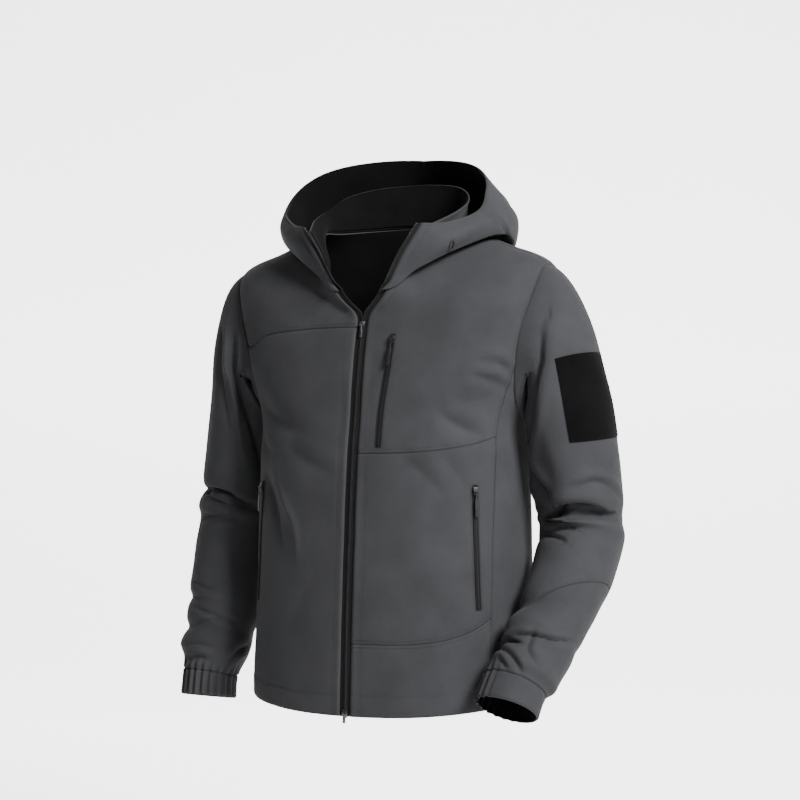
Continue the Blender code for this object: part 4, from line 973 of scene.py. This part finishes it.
def add_cloth(node, points, normals, thick, materials, ring=False):
    item = shell("cloth_" + node, points, normals, thick, materials, ring)
    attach(item, GARMENT)
    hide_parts(node)
    return item


STITCH_LINES = []
BODY_PATHS = [(crease, crease_path(crease, body_line)) for crease in BODY_CREASES]
HOOD_PATHS = [(crease, crease_path(crease, hood_line)) for crease in HOOD_CREASES]


def hem_low(across):
    return np.zeros_like(across)


def neck_high(across):
    return np.full_like(across, NECK_LEVEL)


def chest_line(across):
    return seam_level(CHEST_SEAM, across)


def lower_line(across):
    return seam_level(LOWER_SEAM, across)


def yoke_line(across):
    level = seam_level(YOKE_SEAM, across)
    return mix(level, float(armhole_place(YOKE_STEP)[1]), ease((across - 0.6) / 0.4))


def draw_back(points, sides):
    """Draw the named edges back by half a seam gap."""
    for side in sides:
        on_edge = edge_distance(points, side) < 1e-6
        inward = np.gradient(points, axis=edge_axis(side))
        if side in ("high", "last"):
            inward = -inward
        points = points + unit(inward) * np.where(on_edge, SEAM_GAP / 2, 0)[..., None]
    return points


ZIP_EDGE = Edge("first", PLACKET_STITCH, PLACKET_RAISE, SEAM_DROP)
HEM_EDGE = Edge("low", HEM_STITCH, HEM_RAISE, SEAM_DROP)


def make_body():
    sides = ("low", "high", "first", "last")
    seam = {side: Edge(side, 0, 0, SEAM_DROP) for side in sides}
    sewn = {side: Edge(side, SEAM_STITCH, 0, SEAM_DROP) for side in sides}
    sewn["last"] = Edge("last", SEAM_STITCH, 0, ARMHOLE_DROP)
    top_edges = (sewn["low"], ZIP_EDGE, sewn["last"])
    middle_edges = (sewn["low"], seam["high"], ZIP_EDGE, seam["last"])
    lower_edges = (HEM_EDGE, sewn["high"], ZIP_EDGE, seam["last"])
    main_edges = (HEM_EDGE, seam["high"], ZIP_EDGE, seam["last"])
    side_edges = (HEM_EDGE, seam["high"], sewn["first"], sewn["last"])
    back_edges = (HEM_EDGE, Edge("first", 0, 0, ARMHOLE_DROP), Edge("last", 0, 0, ARMHOLE_DROP))
    panels = (
        ("front_left_chest", front_places(chest_line, neck_high, TOP_FRONT_WIDTH), False, top_edges),
        ("front_left_middle", front_places(lower_line, chest_line, LOW_FRONT_WIDTH), False, middle_edges),
        ("front_left_lower", front_places(hem_low, lower_line, LOW_FRONT_WIDTH), False, lower_edges),
        ("front_right_yoke", front_places(yoke_line, neck_high, TOP_FRONT_WIDTH), True, top_edges),
        ("front_right_main", front_places(hem_low, yoke_line, MAIN_FRONT_WIDTH), True, main_edges),
        ("side_left", side_places(), False, side_edges),
        ("side_right", side_places(), True, side_edges),
        ("back", back_places(), False, back_edges),
    )
    for node, places, right, edges in panels:
        points = draw_back(body(*places), [edge.side for edge in edges if edge not in (ZIP_EDGE, HEM_EDGE)])
        if right:
            points = mirror(points)
        points, normals, lines = dress(points, False, right, BODY_PATHS, edges, BODY_RUMPLE)
        if edges in (middle_edges, main_edges):
            points[-1] += SEAM_TUCK * unit(points[-1] - points[-3]) - SEAM_UNDER * normals[-1]
        STITCH_LINES.extend(lines)
        add_cloth(node, points, normals, CLOTH, (SOFTSHELL, INSIDE))


def sleeve_grids(arm):
    """Plain grids of the sleeve, the forearm and the cuff."""
    around = np.arange(SLEEVE_COLUMNS)[None, :] / SLEEVE_COLUMNS
    cap = shares_along(CAP_LENGTH, SLEEVE_STEP, SEAM_STEPS)[:-1, None]
    below = shares_along(UPPER_ARM_LENGTH, SLEEVE_STEP, (0,), SEAM_STEPS)[:, None]
    sleeve = np.concatenate((arm.cap(around, cap), arm.tube(around, forearm_seam(around) * below)))
    rest = shares_along(FOREARM_LENGTH, SLEEVE_STEP, SEAM_STEPS, SEAM_STEPS)[:, None]
    forearm = arm.tube(around, mix(forearm_seam(around), CUFF_SEAM, rest))
    around_cuff = np.arange(CUFF_COLUMNS)[None, :] / CUFF_COLUMNS
    band = shares_along(CUFF_LENGTH, CUFF_STEP, CUFF_STEPS, CUFF_STEPS)[:, None]
    cuff = arm.tube(around_cuff, mix(CUFF_SEAM, CUFF_END, band))
    return sleeve, forearm, cuff


def make_sleeves():
    """Both sleeves. Only the left one has its forearm seam rolled and sewn."""
    low, high = (Edge(side, 0, 0, SEAM_DROP) for side in ("low", "high"))
    for name, side in (("left", 1), ("right", -1)):
        arm = Arm(side)
        sleeve, forearm, cuff = sleeve_grids(arm)
        paths = [(crease, crease_path(crease, arm.line)) for crease in arm.creases]
        sleeve_edges, forearm_edges = [Edge("low", 0, 0, CAP_DROP)], [high]
        if side > 0:
            sleeve_edges.append(Edge("high", SEAM_STITCH, 0, SEAM_DROP))
            forearm_edges.append(low)
        pieces = (
            ("sleeve_" + name, sleeve, sleeve_edges, ("high",), paths, "hung", SLEEVE_RUMPLE),
            ("forearm_" + name, forearm, forearm_edges, ("low", "high"), paths, "hung", SLEEVE_RUMPLE),
            ("cuff_" + name, cuff, (low, high), ("low", "high"), [], "gathered", CUFF_RUMPLE),
        )
        for node, points, edges, drawn, creases, held, height in pieces:
            points, normals, lines = dress(draw_back(points, drawn), True, False, creases, edges, height)
            if side < 0:
                points, normals = mirror(points), mirror(normals)
                lines = [(mirror(p), mirror(n)) for p, n in lines]
            STITCH_LINES.extend(lines)
            add_cloth(node, points, normals, CLOTH, (SOFTSHELL, INSIDE), ring=True)


def make_hood():
    up = shares_along(HOOD_HEIGHT, CLOTH_STEP, (0,), SEAM_STEPS)[:, None]
    halves = (("hood_left", 0.0, 1.0, "first", "last"), ("hood_right", 1.0, 2.0, "last", "first"))
    for node, first, last, front, middle in halves:
        ends = (PLACKET_STEPS, SEAM_STEPS) if front == "first" else (SEAM_STEPS, PLACKET_STEPS)
        across = mix(first, last, shares_along(HOOD_HALF_WIDTH, CLOTH_STEP, *ends))[None, :]
        points = draw_back(hood(across, up), (middle,))
        edges = (Edge("high", SEAM_STITCH, 0, SEAM_DROP), Edge(front, PLACKET_STITCH, HOOD_RAISE, SEAM_DROP),
                 Edge(middle, SEAM_STITCH, 0, SEAM_DROP))
        points, normals, lines = dress(points, False, False, HOOD_PATHS, edges, HOOD_RUMPLE)
        STITCH_LINES.extend(lines)
        add_cloth(node, points, normals, CLOTH, (SOFTSHELL, INSIDE))
    across = shares_along(HOOD_WIDTH, HOOD_LINING_STEP)[None, :] * 2
    points = hood(across, shares_along(HOOD_HEIGHT, HOOD_LINING_STEP)[:, None])
    normals = grid_normals(points)
    lift = cloth_lift(points, normals, HOOD_PATHS, HOOD_RUMPLE) - CLOTH - PIECE_GAP
    points = points + normals * lift[..., None]
    add_cloth("hood_lining", points, grid_normals(points), LINING, (INSIDE,))


def make_collar():
    across = shares_along(COLLAR_WIDTH, CLOTH_STEP, SEAM_STEPS, SEAM_STEPS)[None, :] * 2
    points = collar(across, shares_along(COLLAR_HEIGHT, CLOTH_STEP, (0,), SEAM_STEPS)[:, None])
    edges = (Edge("high", SEAM_STITCH, 0, SEAM_DROP),)
    points, normals, lines = dress(points, False, False, [], edges, COLLAR_RUMPLE)
    STITCH_LINES.extend(lines)
    add_cloth("collar", points, normals, CLOTH, (SOFTSHELL, INSIDE))
    up = shares_along(COLLAR_LINING_HEIGHT, COLLAR_LINING_UP_STEP)
    up = mix(COLLAR_LINING_START, COLLAR_LINING_END, up)[:, None]
    points = collar(shares_along(COLLAR_WIDTH, COLLAR_LINING_STEP)[None, :] * 2, up)
    normals = grid_normals(points)
    points = points + normals * (rumple(points, COLLAR_RUMPLE) - CLOTH - 2 * PIECE_GAP)[..., None]
    add_cloth("collar_lining", points, grid_normals(points), LINING, (INSIDE,))


# Zips
def front_edge(share):
    """Points, directions towards the opening and normals of the left front's edge, from hem to hood rim."""
    on_body = share < TAPE_BODY_SHARE
    level = NECK_LEVEL * np.minimum(share, TAPE_BODY_SHARE) / TAPE_BODY_SHARE
    turn = zip_edge(level)
    point = body(turn, level)
    across = unit(point - body(turn + 1.0, level))
    normal = body_normal(turn, level)
    up = mix(TAPE_HOOD_START, 1.0, np.clip((share - TAPE_BODY_SHARE) / (1 - TAPE_BODY_SHARE), 0, 1))
    hood_point = hood(np.zeros_like(up), up)
    hood_across = unit(hood_point - hood(np.full_like(up, 0.02), up))
    keep = on_body[..., None]
    return (np.where(keep, point, hood_point), np.where(keep, across, hood_across),
            np.where(keep, normal, hood_normal(np.zeros_like(up), up)))


def box_at(bm, matrix, size):
    return bmesh.ops.create_cube(bm, size=1, matrix=matrix @ Matrix.Diagonal((*size, 1)))["verts"]


def place_matrix(point, along, normal):
    """X across, Y along, Z out of the cloth, in metres."""
    across = np.cross(along, normal)
    across = across / np.linalg.norm(across)
    along = np.cross(normal, across)
    matrix = Matrix([Vector(v) for v in (across, along, normal)]).transposed().to_4x4()
    matrix.translation = Vector(point * MM)
    return matrix


def round_edges(bm, edges, offset, segments=2):
    bmesh.ops.bevel(bm, geom=edges, offset=offset * MM, segments=segments, profile=0.5, affect="EDGES",
                    clamp_overlap=True, material=-1)


def only_verts(geometry):
    return [item for item in geometry if isinstance(item, bmesh.types.BMVert)]


def finish_mesh(name, bm, material, node=None, body_name=GARMENT):
    bmesh.ops.recalc_face_normals(bm, faces=bm.faces)
    mesh = bpy.data.meshes.new(name)
    bm.to_mesh(mesh)
    bm.free()
    mesh.shade_smooth()
    mesh.set_sharp_from_angle(angle=math.radians(TRIM_SHARP))
    mesh.materials.append(material)
    item = bpy.data.objects.new(name, mesh)
    bpy.context.scene.collection.objects.link(item)
    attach(item, body_name)
    if node:
        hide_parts(node)
    return item


def tape_width(share):
    opening = ease((share - TAPE_OPEN_SHARE) / TAPE_OPEN_EASE)
    return 2 * PIECE_GAP + TAPE_WIDTH + TAPE_OPEN_WIDTH * opening


def make_tapes():
    share = shares_along(TAPE_LENGTH, TAPE_STEP)
    point, across, normal = front_edge(share)
    reach = mix(-TAPE_UNDER, tape_width(share)[:, None], np.linspace(0, 1, TAPE_COLUMNS)[None, :])
    sink = mix(TAPE_SINK, TAPE_EDGE_SINK, ease(reach / TAPE_WIDTH))
    points = point[:, None] + across[:, None] * reach[..., None] - normal[:, None] * sink[..., None]
    normals = np.repeat(normal[:, None], TAPE_COLUMNS, axis=1)
    for node, right in (("zip_tape_left", False), ("zip_tape_right", True)):
        p, n = (mirror(points), mirror(normals)) if right else (points, normals)
        add_cloth(node, p, n, TAPE_THICK, (TAPE,))


def even_places(points, pitch, start, *others):
    """Points at even distances along a line, and what goes with them from other rows of the same line."""
    steps = np.linalg.norm(np.diff(points, axis=0), axis=-1)
    along = np.concatenate(((0.0,), np.cumsum(steps)))
    at = np.arange(start, along[-1], pitch)
    return [np.stack([np.interp(at, along, rows[:, k]) for k in range(3)], -1) for rows in (points, *others)]


def make_teeth():
    """Two rows of teeth that meet in the closed zip and part above the slider."""
    share = np.linspace(0, 1, TEETH_POINTS)
    point, across, normal = front_edge(share)
    reach, sink = tape_width(share) - TOOTH_BACK, TAPE_EDGE_SINK - TOOTH_LIFT
    inner = point + across * reach[:, None] - normal * sink
    bm = bmesh.new()
    for right in (False, True):
        start = TOOTH_START + TOOTH_PITCH / 2 * right
        for spot, way, out in zip(*even_places(inner, TOOTH_PITCH, start, across, normal)):
            if right:
                spot, way, out = mirror(spot), mirror(way), mirror(out)
            up = np.cross(out, way)
            matrix = place_matrix(spot, unit(up), unit(out))
            box_at(bm, matrix, (TOOTH_WIDTH * MM, TOOTH_LENGTH * MM, TOOTH_THICK * MM))
    round_edges(bm, bm.edges[:], TOOTH_BEVEL, segments=1)
    finish_mesh("zip_teeth", bm, TEETH)


def pocket_place(pocket, share):
    turn = mix(pocket.top_turn, pocket.end_turn, share)
    return turn, level_at(turn, mix(pocket.top_z, pocket.end_z, share))


def pocket_line(pocket, share, right):
    turn, level = pocket_place(pocket, share)
    point, normal = body(turn, level), body_normal(turn, level)
    across = unit(body(turn + 0.5, level) - body(turn - 0.5, level))
    if right:
        point, normal, across = mirror(point), mirror(normal), mirror(across)
    lift = np.maximum(cloth_lift(point, normal, BODY_PATHS, BODY_RUMPLE), POCKET_SINK)
    return point + normal * lift[..., None], normal, across


def make_pocket(name, pocket, right):
    """Pocket zip: tape, a line of sewing on both sides of it and a middle row of teeth."""
    tape_top = POCKET_TAPE_LIFT + POCKET_TAPE_THICK
    point, normal, across = pocket_line(pocket, shares_along(POCKET_LENGTH, TAPE_STEP), right)
    shifts = np.linspace(-1, 1, POCKET_COLUMNS) * POCKET_TAPE_HALF
    points = point[:, None] + across[:, None] * shifts[None, :, None] + normal[:, None] * tape_top
    normals = np.repeat(normal[:, None], POCKET_COLUMNS, axis=1)
    add_cloth(name + "_zip", points, normals, POCKET_TAPE_THICK, (TAPE,))
    for sign in (-1, 1):
        beside = across * sign * (POCKET_TAPE_HALF + WELT) + normal * WELT_LIFT
        STITCH_LINES.append((point + beside, normal))
    bm = bmesh.new()
    share = np.arange(POCKET_TEETH_START, POCKET_TEETH_END, POCKET_TEETH_STEP)
    for k, (spot, out, way) in enumerate(zip(*pocket_line(pocket, share, right))):
        shift = POCKET_TOOTH_SHIFT if k % 2 else -POCKET_TOOTH_SHIFT
        spot = spot + out * (tape_top + POCKET_TOOTH_LIFT) + way * shift
        up = np.cross(out, way)
        box_at(bm, place_matrix(spot, unit(up), unit(out)), POCKET_TOOTH_SIZE * MM)
    round_edges(bm, bm.edges[:], POCKET_TOOTH_BEVEL, segments=1)
    finish_mesh(name + "_teeth", bm, TEETH)


def hinge_matrix(matrix):
    return matrix @ Matrix.Translation((0, 0, (SLIDER_THICK + HINGE_LIFT) * MM))


def make_slider(name, matrix, material):
    """Plate narrowed towards the closed teeth, two ears and the pin that carries the tab."""
    bm = bmesh.new()
    plate = box_at(bm, matrix @ Matrix.Translation((0, 0, SLIDER_THICK / 2 * MM)),
                   (SLIDER_WIDTH * MM, SLIDER_LENGTH * MM, SLIDER_THICK * MM))
    back = matrix.inverted()
    for vert in plate:
        local = back @ vert.co
        if local.y < 0:
            local.x *= SLIDER_TAPER
            vert.co = matrix @ local
    for sign in (-1, 1):
        x = sign * (EAR_GAP + EAR_WIDTH) / 2
        place = Matrix.Translation((x * MM, 0, (SLIDER_THICK + EAR_HEIGHT / 2 - EAR_SINK) * MM))
        box_at(bm, matrix @ place, (EAR_WIDTH * MM, EAR_LENGTH * MM, EAR_HEIGHT * MM))
    round_edges(bm, bm.edges[:], SLIDER_BEVEL)
    pin = hinge_matrix(matrix) @ Matrix.Rotation(math.pi / 2, 4, "Y")
    bmesh.ops.create_cone(bm, cap_ends=True, segments=14, radius1=PIN_RADIUS * MM, radius2=PIN_RADIUS * MM,
                          depth=(EAR_GAP + 2 * PIN_REACH) * MM, matrix=pin)
    finish_mesh(name + "_body", bm, material, node=name)


def make_pull(name, matrix, tab, material):
    """A tab that hangs from the slider's pin: an eye, a waist and a wider grip, ribbed on the long ones."""
    bm = bmesh.new()
    hinge = hinge_matrix(matrix)
    # Places along the tab from the pin, and the share of the width that each one has
    stops = ((PULL_OVERHANG, 0.92), (-1.5, 0.85), (-0.3 * tab.length, 0.8), (-0.42 * tab.length, 1.0),
             (-0.96 * tab.length, 1.0), (-tab.length, 0.7))
    half = PULL_THICK / 2
    ring_before = None
    for y, share in stops:
        width = (PULL_WIDTH if y > -PULL_GRIP * tab.length else tab.end_width) * share / 2
        corners = [(-width, y, -half), (width, y, -half), (width, y, half), (-width, y, half)]
        ring = [bm.verts.new(hinge @ Vector((x * MM, yy * MM, z * MM))) for x, yy, z in corners]
        if ring_before is None:
            bm.faces.new(ring)
        else:
            edges = []
            for loop in (ring_before, ring):
                for k in range(4):
                    pair = (loop[k], loop[(k + 1) % 4])
                    edges.append(bm.edges.get(pair) or bm.edges.new(pair))
            bmesh.ops.bridge_loops(bm, edges=edges)
        ring_before = ring
    bm.faces.new(ring_before)
    bmesh.ops.recalc_face_normals(bm, faces=bm.faces)
    round_edges(bm, [edge for edge in bm.edges if edge.calc_face_angle(0) > PULL_SHARP], PULL_BEVEL)
    for k in range(tab.ribs):
        y = -tab.length * mix(RIB_START, RIB_END, k / max(tab.ribs - 1, 1))
        rib = hinge @ Matrix.Translation((0, y * MM, 0))
        size = Vector((tab.end_width * RIB_WIDTH_SHARE, RIB_LENGTH, PULL_THICK + RIB_RAISE))
        box_at(bm, rib, size * MM)
    finish_mesh(name + "_tab", bm, material, node=name, body_name=name)


def main_zip_matrix(level):
    middle = body(0.0, level)
    up = unit(body(0.0, level + 0.1) - body(0.0, max(level - 0.1, 0.0)))
    normal = unit(np.cross(np.array((1.0, 0, 0)), up))
    return place_matrix(middle + normal * SLIDER_LIFT, up, normal)


def pocket_matrix(pocket, share, right):
    turn, level = pocket_place(pocket, share)
    up = unit(body(*pocket_place(pocket, share - 0.02)) - body(*pocket_place(pocket, share + 0.02)))
    normal = body_normal(turn, level)
    point = body(turn, level) + normal * (POCKET_TAPE_LIFT + POCKET_TAPE_THICK + PIECE_GAP)
    if right:
        point, up, normal = mirror(point), mirror(up), mirror(normal)
    return place_matrix(point, up, normal)


def make_zips():
    make_tapes()
    make_teeth()
    for slider, pull, level, tab in (("zip_slider", "zip_pull", MAIN_SLIDER_LEVEL, MAIN_PULL),
                                     ("hem_slider", "hem_pull", HEM_SLIDER_LEVEL, HEM_PULL)):
        matrix = main_zip_matrix(level)
        make_slider(slider, matrix, METAL)
        make_pull(pull, matrix, tab, METAL)
    for name, pocket, tab, right in (("chest_pocket", CHEST_POCKET, CHEST_PULL, False),
                                     ("hand_pocket_left", HAND_POCKET, HAND_PULL, False),
                                     ("hand_pocket_right", HAND_POCKET, HAND_PULL, True)):
        make_pocket(name, pocket, right)
        matrix = pocket_matrix(pocket, POCKET_SLIDER_SHARE, right)
        make_slider(name + "_slider", matrix, RUBBER)
        make_pull(name + "_pull", matrix, tab, RUBBER)


def make_patch():
    arm = Arm(1)
    along = PATCH_ALONG + PATCH_HALF_ALONG * np.linspace(-1, 1, PATCH_ROWS)[:, None]
    place = np.linspace(-1, 1, PATCH_COLUMNS)[None, :]
    around = PATCH_AROUND + PATCH_HALF_AROUND * place
    points = arm.at(around % 1.0, along - PATCH_RISE * (1 + place))
    normals = grid_normals(points)
    paths = [(crease, crease_path(crease, arm.line)) for crease in arm.creases]
    points = points + normals * cloth_lift(points, normals, paths, SLEEVE_RUMPLE)[..., None]
    normals = grid_normals(points)
    border = np.minimum.reduce([edge_distance(points, side) for side in ("low", "high", "first", "last")])
    lift = PATCH_LIFT + PATCH_THICK - PATCH_EDGE_DROP * np.exp(-((border / PATCH_EDGE_ROLL) ** 2))
    lift = lift - PATCH_STITCH_DROP * np.exp(-(((border - PATCH_STITCH) / PATCH_STITCH_ROLL) ** 2))
    points = points + normals * lift[..., None]
    add_cloth("sleeve_patch", points, normals, PATCH_THICK, (PATCH,))


def make_eyelet():
    point = hood(np.array(EYELET_ACROSS), np.array(EYELET_UP))
    normal = hood_normal(np.array(EYELET_ACROSS), np.array(EYELET_UP))
    up = unit(hood(np.array(EYELET_ACROSS), np.array(EYELET_UP + 0.02)) - point)
    lift = EYELET_LIFT + max(0.0, float(cloth_lift(point[None], normal[None], HOOD_PATHS, HOOD_RUMPLE)[0]))
    matrix = place_matrix(point + normal * lift, up, normal)
    bm = bmesh.new()
    stretch = Matrix.Diagonal((EYELET_HALF_WIDTH * MM, EYELET_HALF_HEIGHT * MM, MM, 1))
    bmesh.ops.create_circle(bm, cap_ends=True, segments=EYELET_SEGMENTS, radius=1, matrix=stretch)
    bmesh.ops.inset_region(bm, faces=bm.faces[:], thickness=EYELET_BAND * MM, use_boundary=True)
    inner = max(bm.faces, key=lambda face: len(face.verts))
    bmesh.ops.delete(bm, geom=[inner], context="FACES_ONLY")
    grown = bmesh.ops.extrude_face_region(bm, geom=bm.faces[:])["geom"]
    bmesh.ops.translate(bm, verts=only_verts(grown), vec=(0, 0, EYELET_THICK * MM))
    bmesh.ops.transform(bm, matrix=matrix, verts=bm.verts[:])
    sharp = [edge for edge in bm.edges if edge.calc_face_angle(0) > EYELET_SHARP]
    round_edges(bm, sharp, EYELET_BEVEL)
    finish_mesh("hood_eyelet_ring", bm, RUBBER, node="hood_eyelet")


def make_stitches():
    """Every sewn line as one piece of short thread stitches."""
    bm = bmesh.new()
    for points, normals in STITCH_LINES:
        spots, outs = even_places(points, STITCH_PITCH, STITCH_PITCH, normals)
        ways = np.gradient(spots, axis=0) if len(spots) > 1 else np.zeros((0, 3))
        for spot, out, way in zip(spots, unit(outs), ways):
            size = Matrix.Diagonal((STITCH_RADIUS * MM, STITCH_LENGTH / 2 * MM, STITCH_RADIUS * MM, 1))
            matrix = place_matrix(spot + out * STITCH_RADIUS * STITCH_LIFT, unit(way), out) @ size
            bmesh.ops.create_icosphere(bm, subdivisions=1, radius=1, matrix=matrix)
    finish_mesh("sewing", bm, THREAD)


# Stage
def paper_material():
    """Pale paper that glows towards the back, so that it ends in plain white."""
    material, tree, shader = node_material("studio_paper")
    colours = [(shade, shade, shade) for shade in (PAPER * PAPER_SHADE, PAPER)]
    value = noise(tree, coordinates(tree, "Object"), 3, 2)
    tree.links.new(ramp(tree, value, 0.3, 0.7, colours), shader.inputs["Base Color"])
    shader.inputs["Roughness"].default_value = PAPER_ROUGHNESS
    shader.inputs["Emission Color"].default_value = (1, 1, 1, 1)
    turn = math.radians(CAMERA_TURN)
    depth = tree.nodes.new("ShaderNodeVectorMath")
    depth.operation = "DOT_PRODUCT"
    depth.inputs[1].default_value = (-math.sin(turn), math.cos(turn), 0)
    tree.links.new(coordinates(tree, "Object"), depth.inputs[0])
    rise = tree.nodes.new("ShaderNodeMapRange")
    rise.interpolation_type = "SMOOTHSTEP"
    rise.inputs["From Min"].default_value = GLOW_START
    rise.inputs["From Max"].default_value = GLOW_END
    rise.inputs["To Max"].default_value = GLOW
    tree.links.new(depth.outputs["Value"], rise.inputs["Value"])
    tree.links.new(rise.outputs["Result"], shader.inputs["Emission Strength"])
    return material


def make_stage():
    """A pale floor that bends up into a backdrop behind the jacket."""
    turn = math.radians(CAMERA_TURN)
    side, back = Vector((math.cos(turn), math.sin(turn), 0)), Vector((-math.sin(turn), math.cos(turn), 0))
    profile = [(-FLOOR_HALF, FLOOR_Z)]
    for k in range(BACK_STEPS + 1):
        angle = math.pi / 2 * k / BACK_STEPS
        distance = BACK_DISTANCE + BACK_ROUND * math.sin(angle)
        profile.append((distance, FLOOR_Z + BACK_ROUND * (1 - math.cos(angle))))
    profile.append((BACK_DISTANCE + BACK_ROUND, BACK_TOP))
    bm = bmesh.new()
    verts = [bm.verts.new(back * d + side * -FLOOR_HALF + Vector((0, 0, z))) for d, z in profile]
    edges = [bm.edges.new(pair) for pair in zip(verts, verts[1:])]
    grown = bmesh.ops.extrude_edge_only(bm, edges=edges)["geom"]
    bmesh.ops.translate(bm, verts=only_verts(grown), vec=side * 2 * FLOOR_HALF)
    mesh = bpy.data.meshes.new("studio_floor")
    bm.to_mesh(mesh)
    bm.free()
    mesh.shade_smooth()
    mesh.materials.append(paper_material())
    floor = bpy.data.objects.new("studio_floor", mesh)
    bpy.context.scene.collection.objects.link(floor)


def add_light(spot):
    """A square soft light, turned from the front middle towards the left sleeve, aimed at the chest."""
    angle = math.radians(spot.turn)
    light = bpy.data.lights.new(spot.name, "AREA")
    light.shape = "SQUARE"
    light.size = spot.size
    light.energy = spot.watts
    item = bpy.data.objects.new(spot.name, light)
    place = Vector((math.sin(angle) * spot.distance, -math.cos(angle) * spot.distance, spot.height))
    item.location = place
    item.rotation_euler = (Vector((0, 0, LIGHT_AIM_Z)) - place).to_track_quat("-Z", "Y").to_euler()
    bpy.context.scene.collection.objects.link(item)


def make_camera():
    turn = math.radians(CAMERA_TURN)
    side, out = Vector((math.cos(turn), math.sin(turn), 0)), Vector((math.sin(turn), -math.cos(turn), 0))
    data = bpy.data.cameras.new("camera")
    data.lens, data.sensor_width = LENS, SENSOR
    camera = bpy.data.objects.new("camera", data)
    camera.location = out * CAMERA_DISTANCE + side * CAMERA_SIDE + Vector((0, 0, CAMERA_HEIGHT))
    camera.rotation_euler = (-out).to_track_quat("-Z", "Y").to_euler()
    bpy.context.scene.collection.objects.link(camera)
    bpy.context.scene.camera = camera


def make_world():
    world = bpy.data.worlds.new("studio")
    world.use_nodes = True
    shade = world.node_tree.nodes["Background"]
    shade.inputs["Color"].default_value = (1, 1, 1, 1)
    shade.inputs["Strength"].default_value = WORLD_LIGHT
    bpy.context.scene.world = world


make_camera()
make_world()
for light_place in LIGHTS:
    add_light(light_place)
make_stage()
make_body()
make_sleeves()
make_hood()
make_collar()
make_zips()
make_patch()
make_eyelet()
make_stitches()
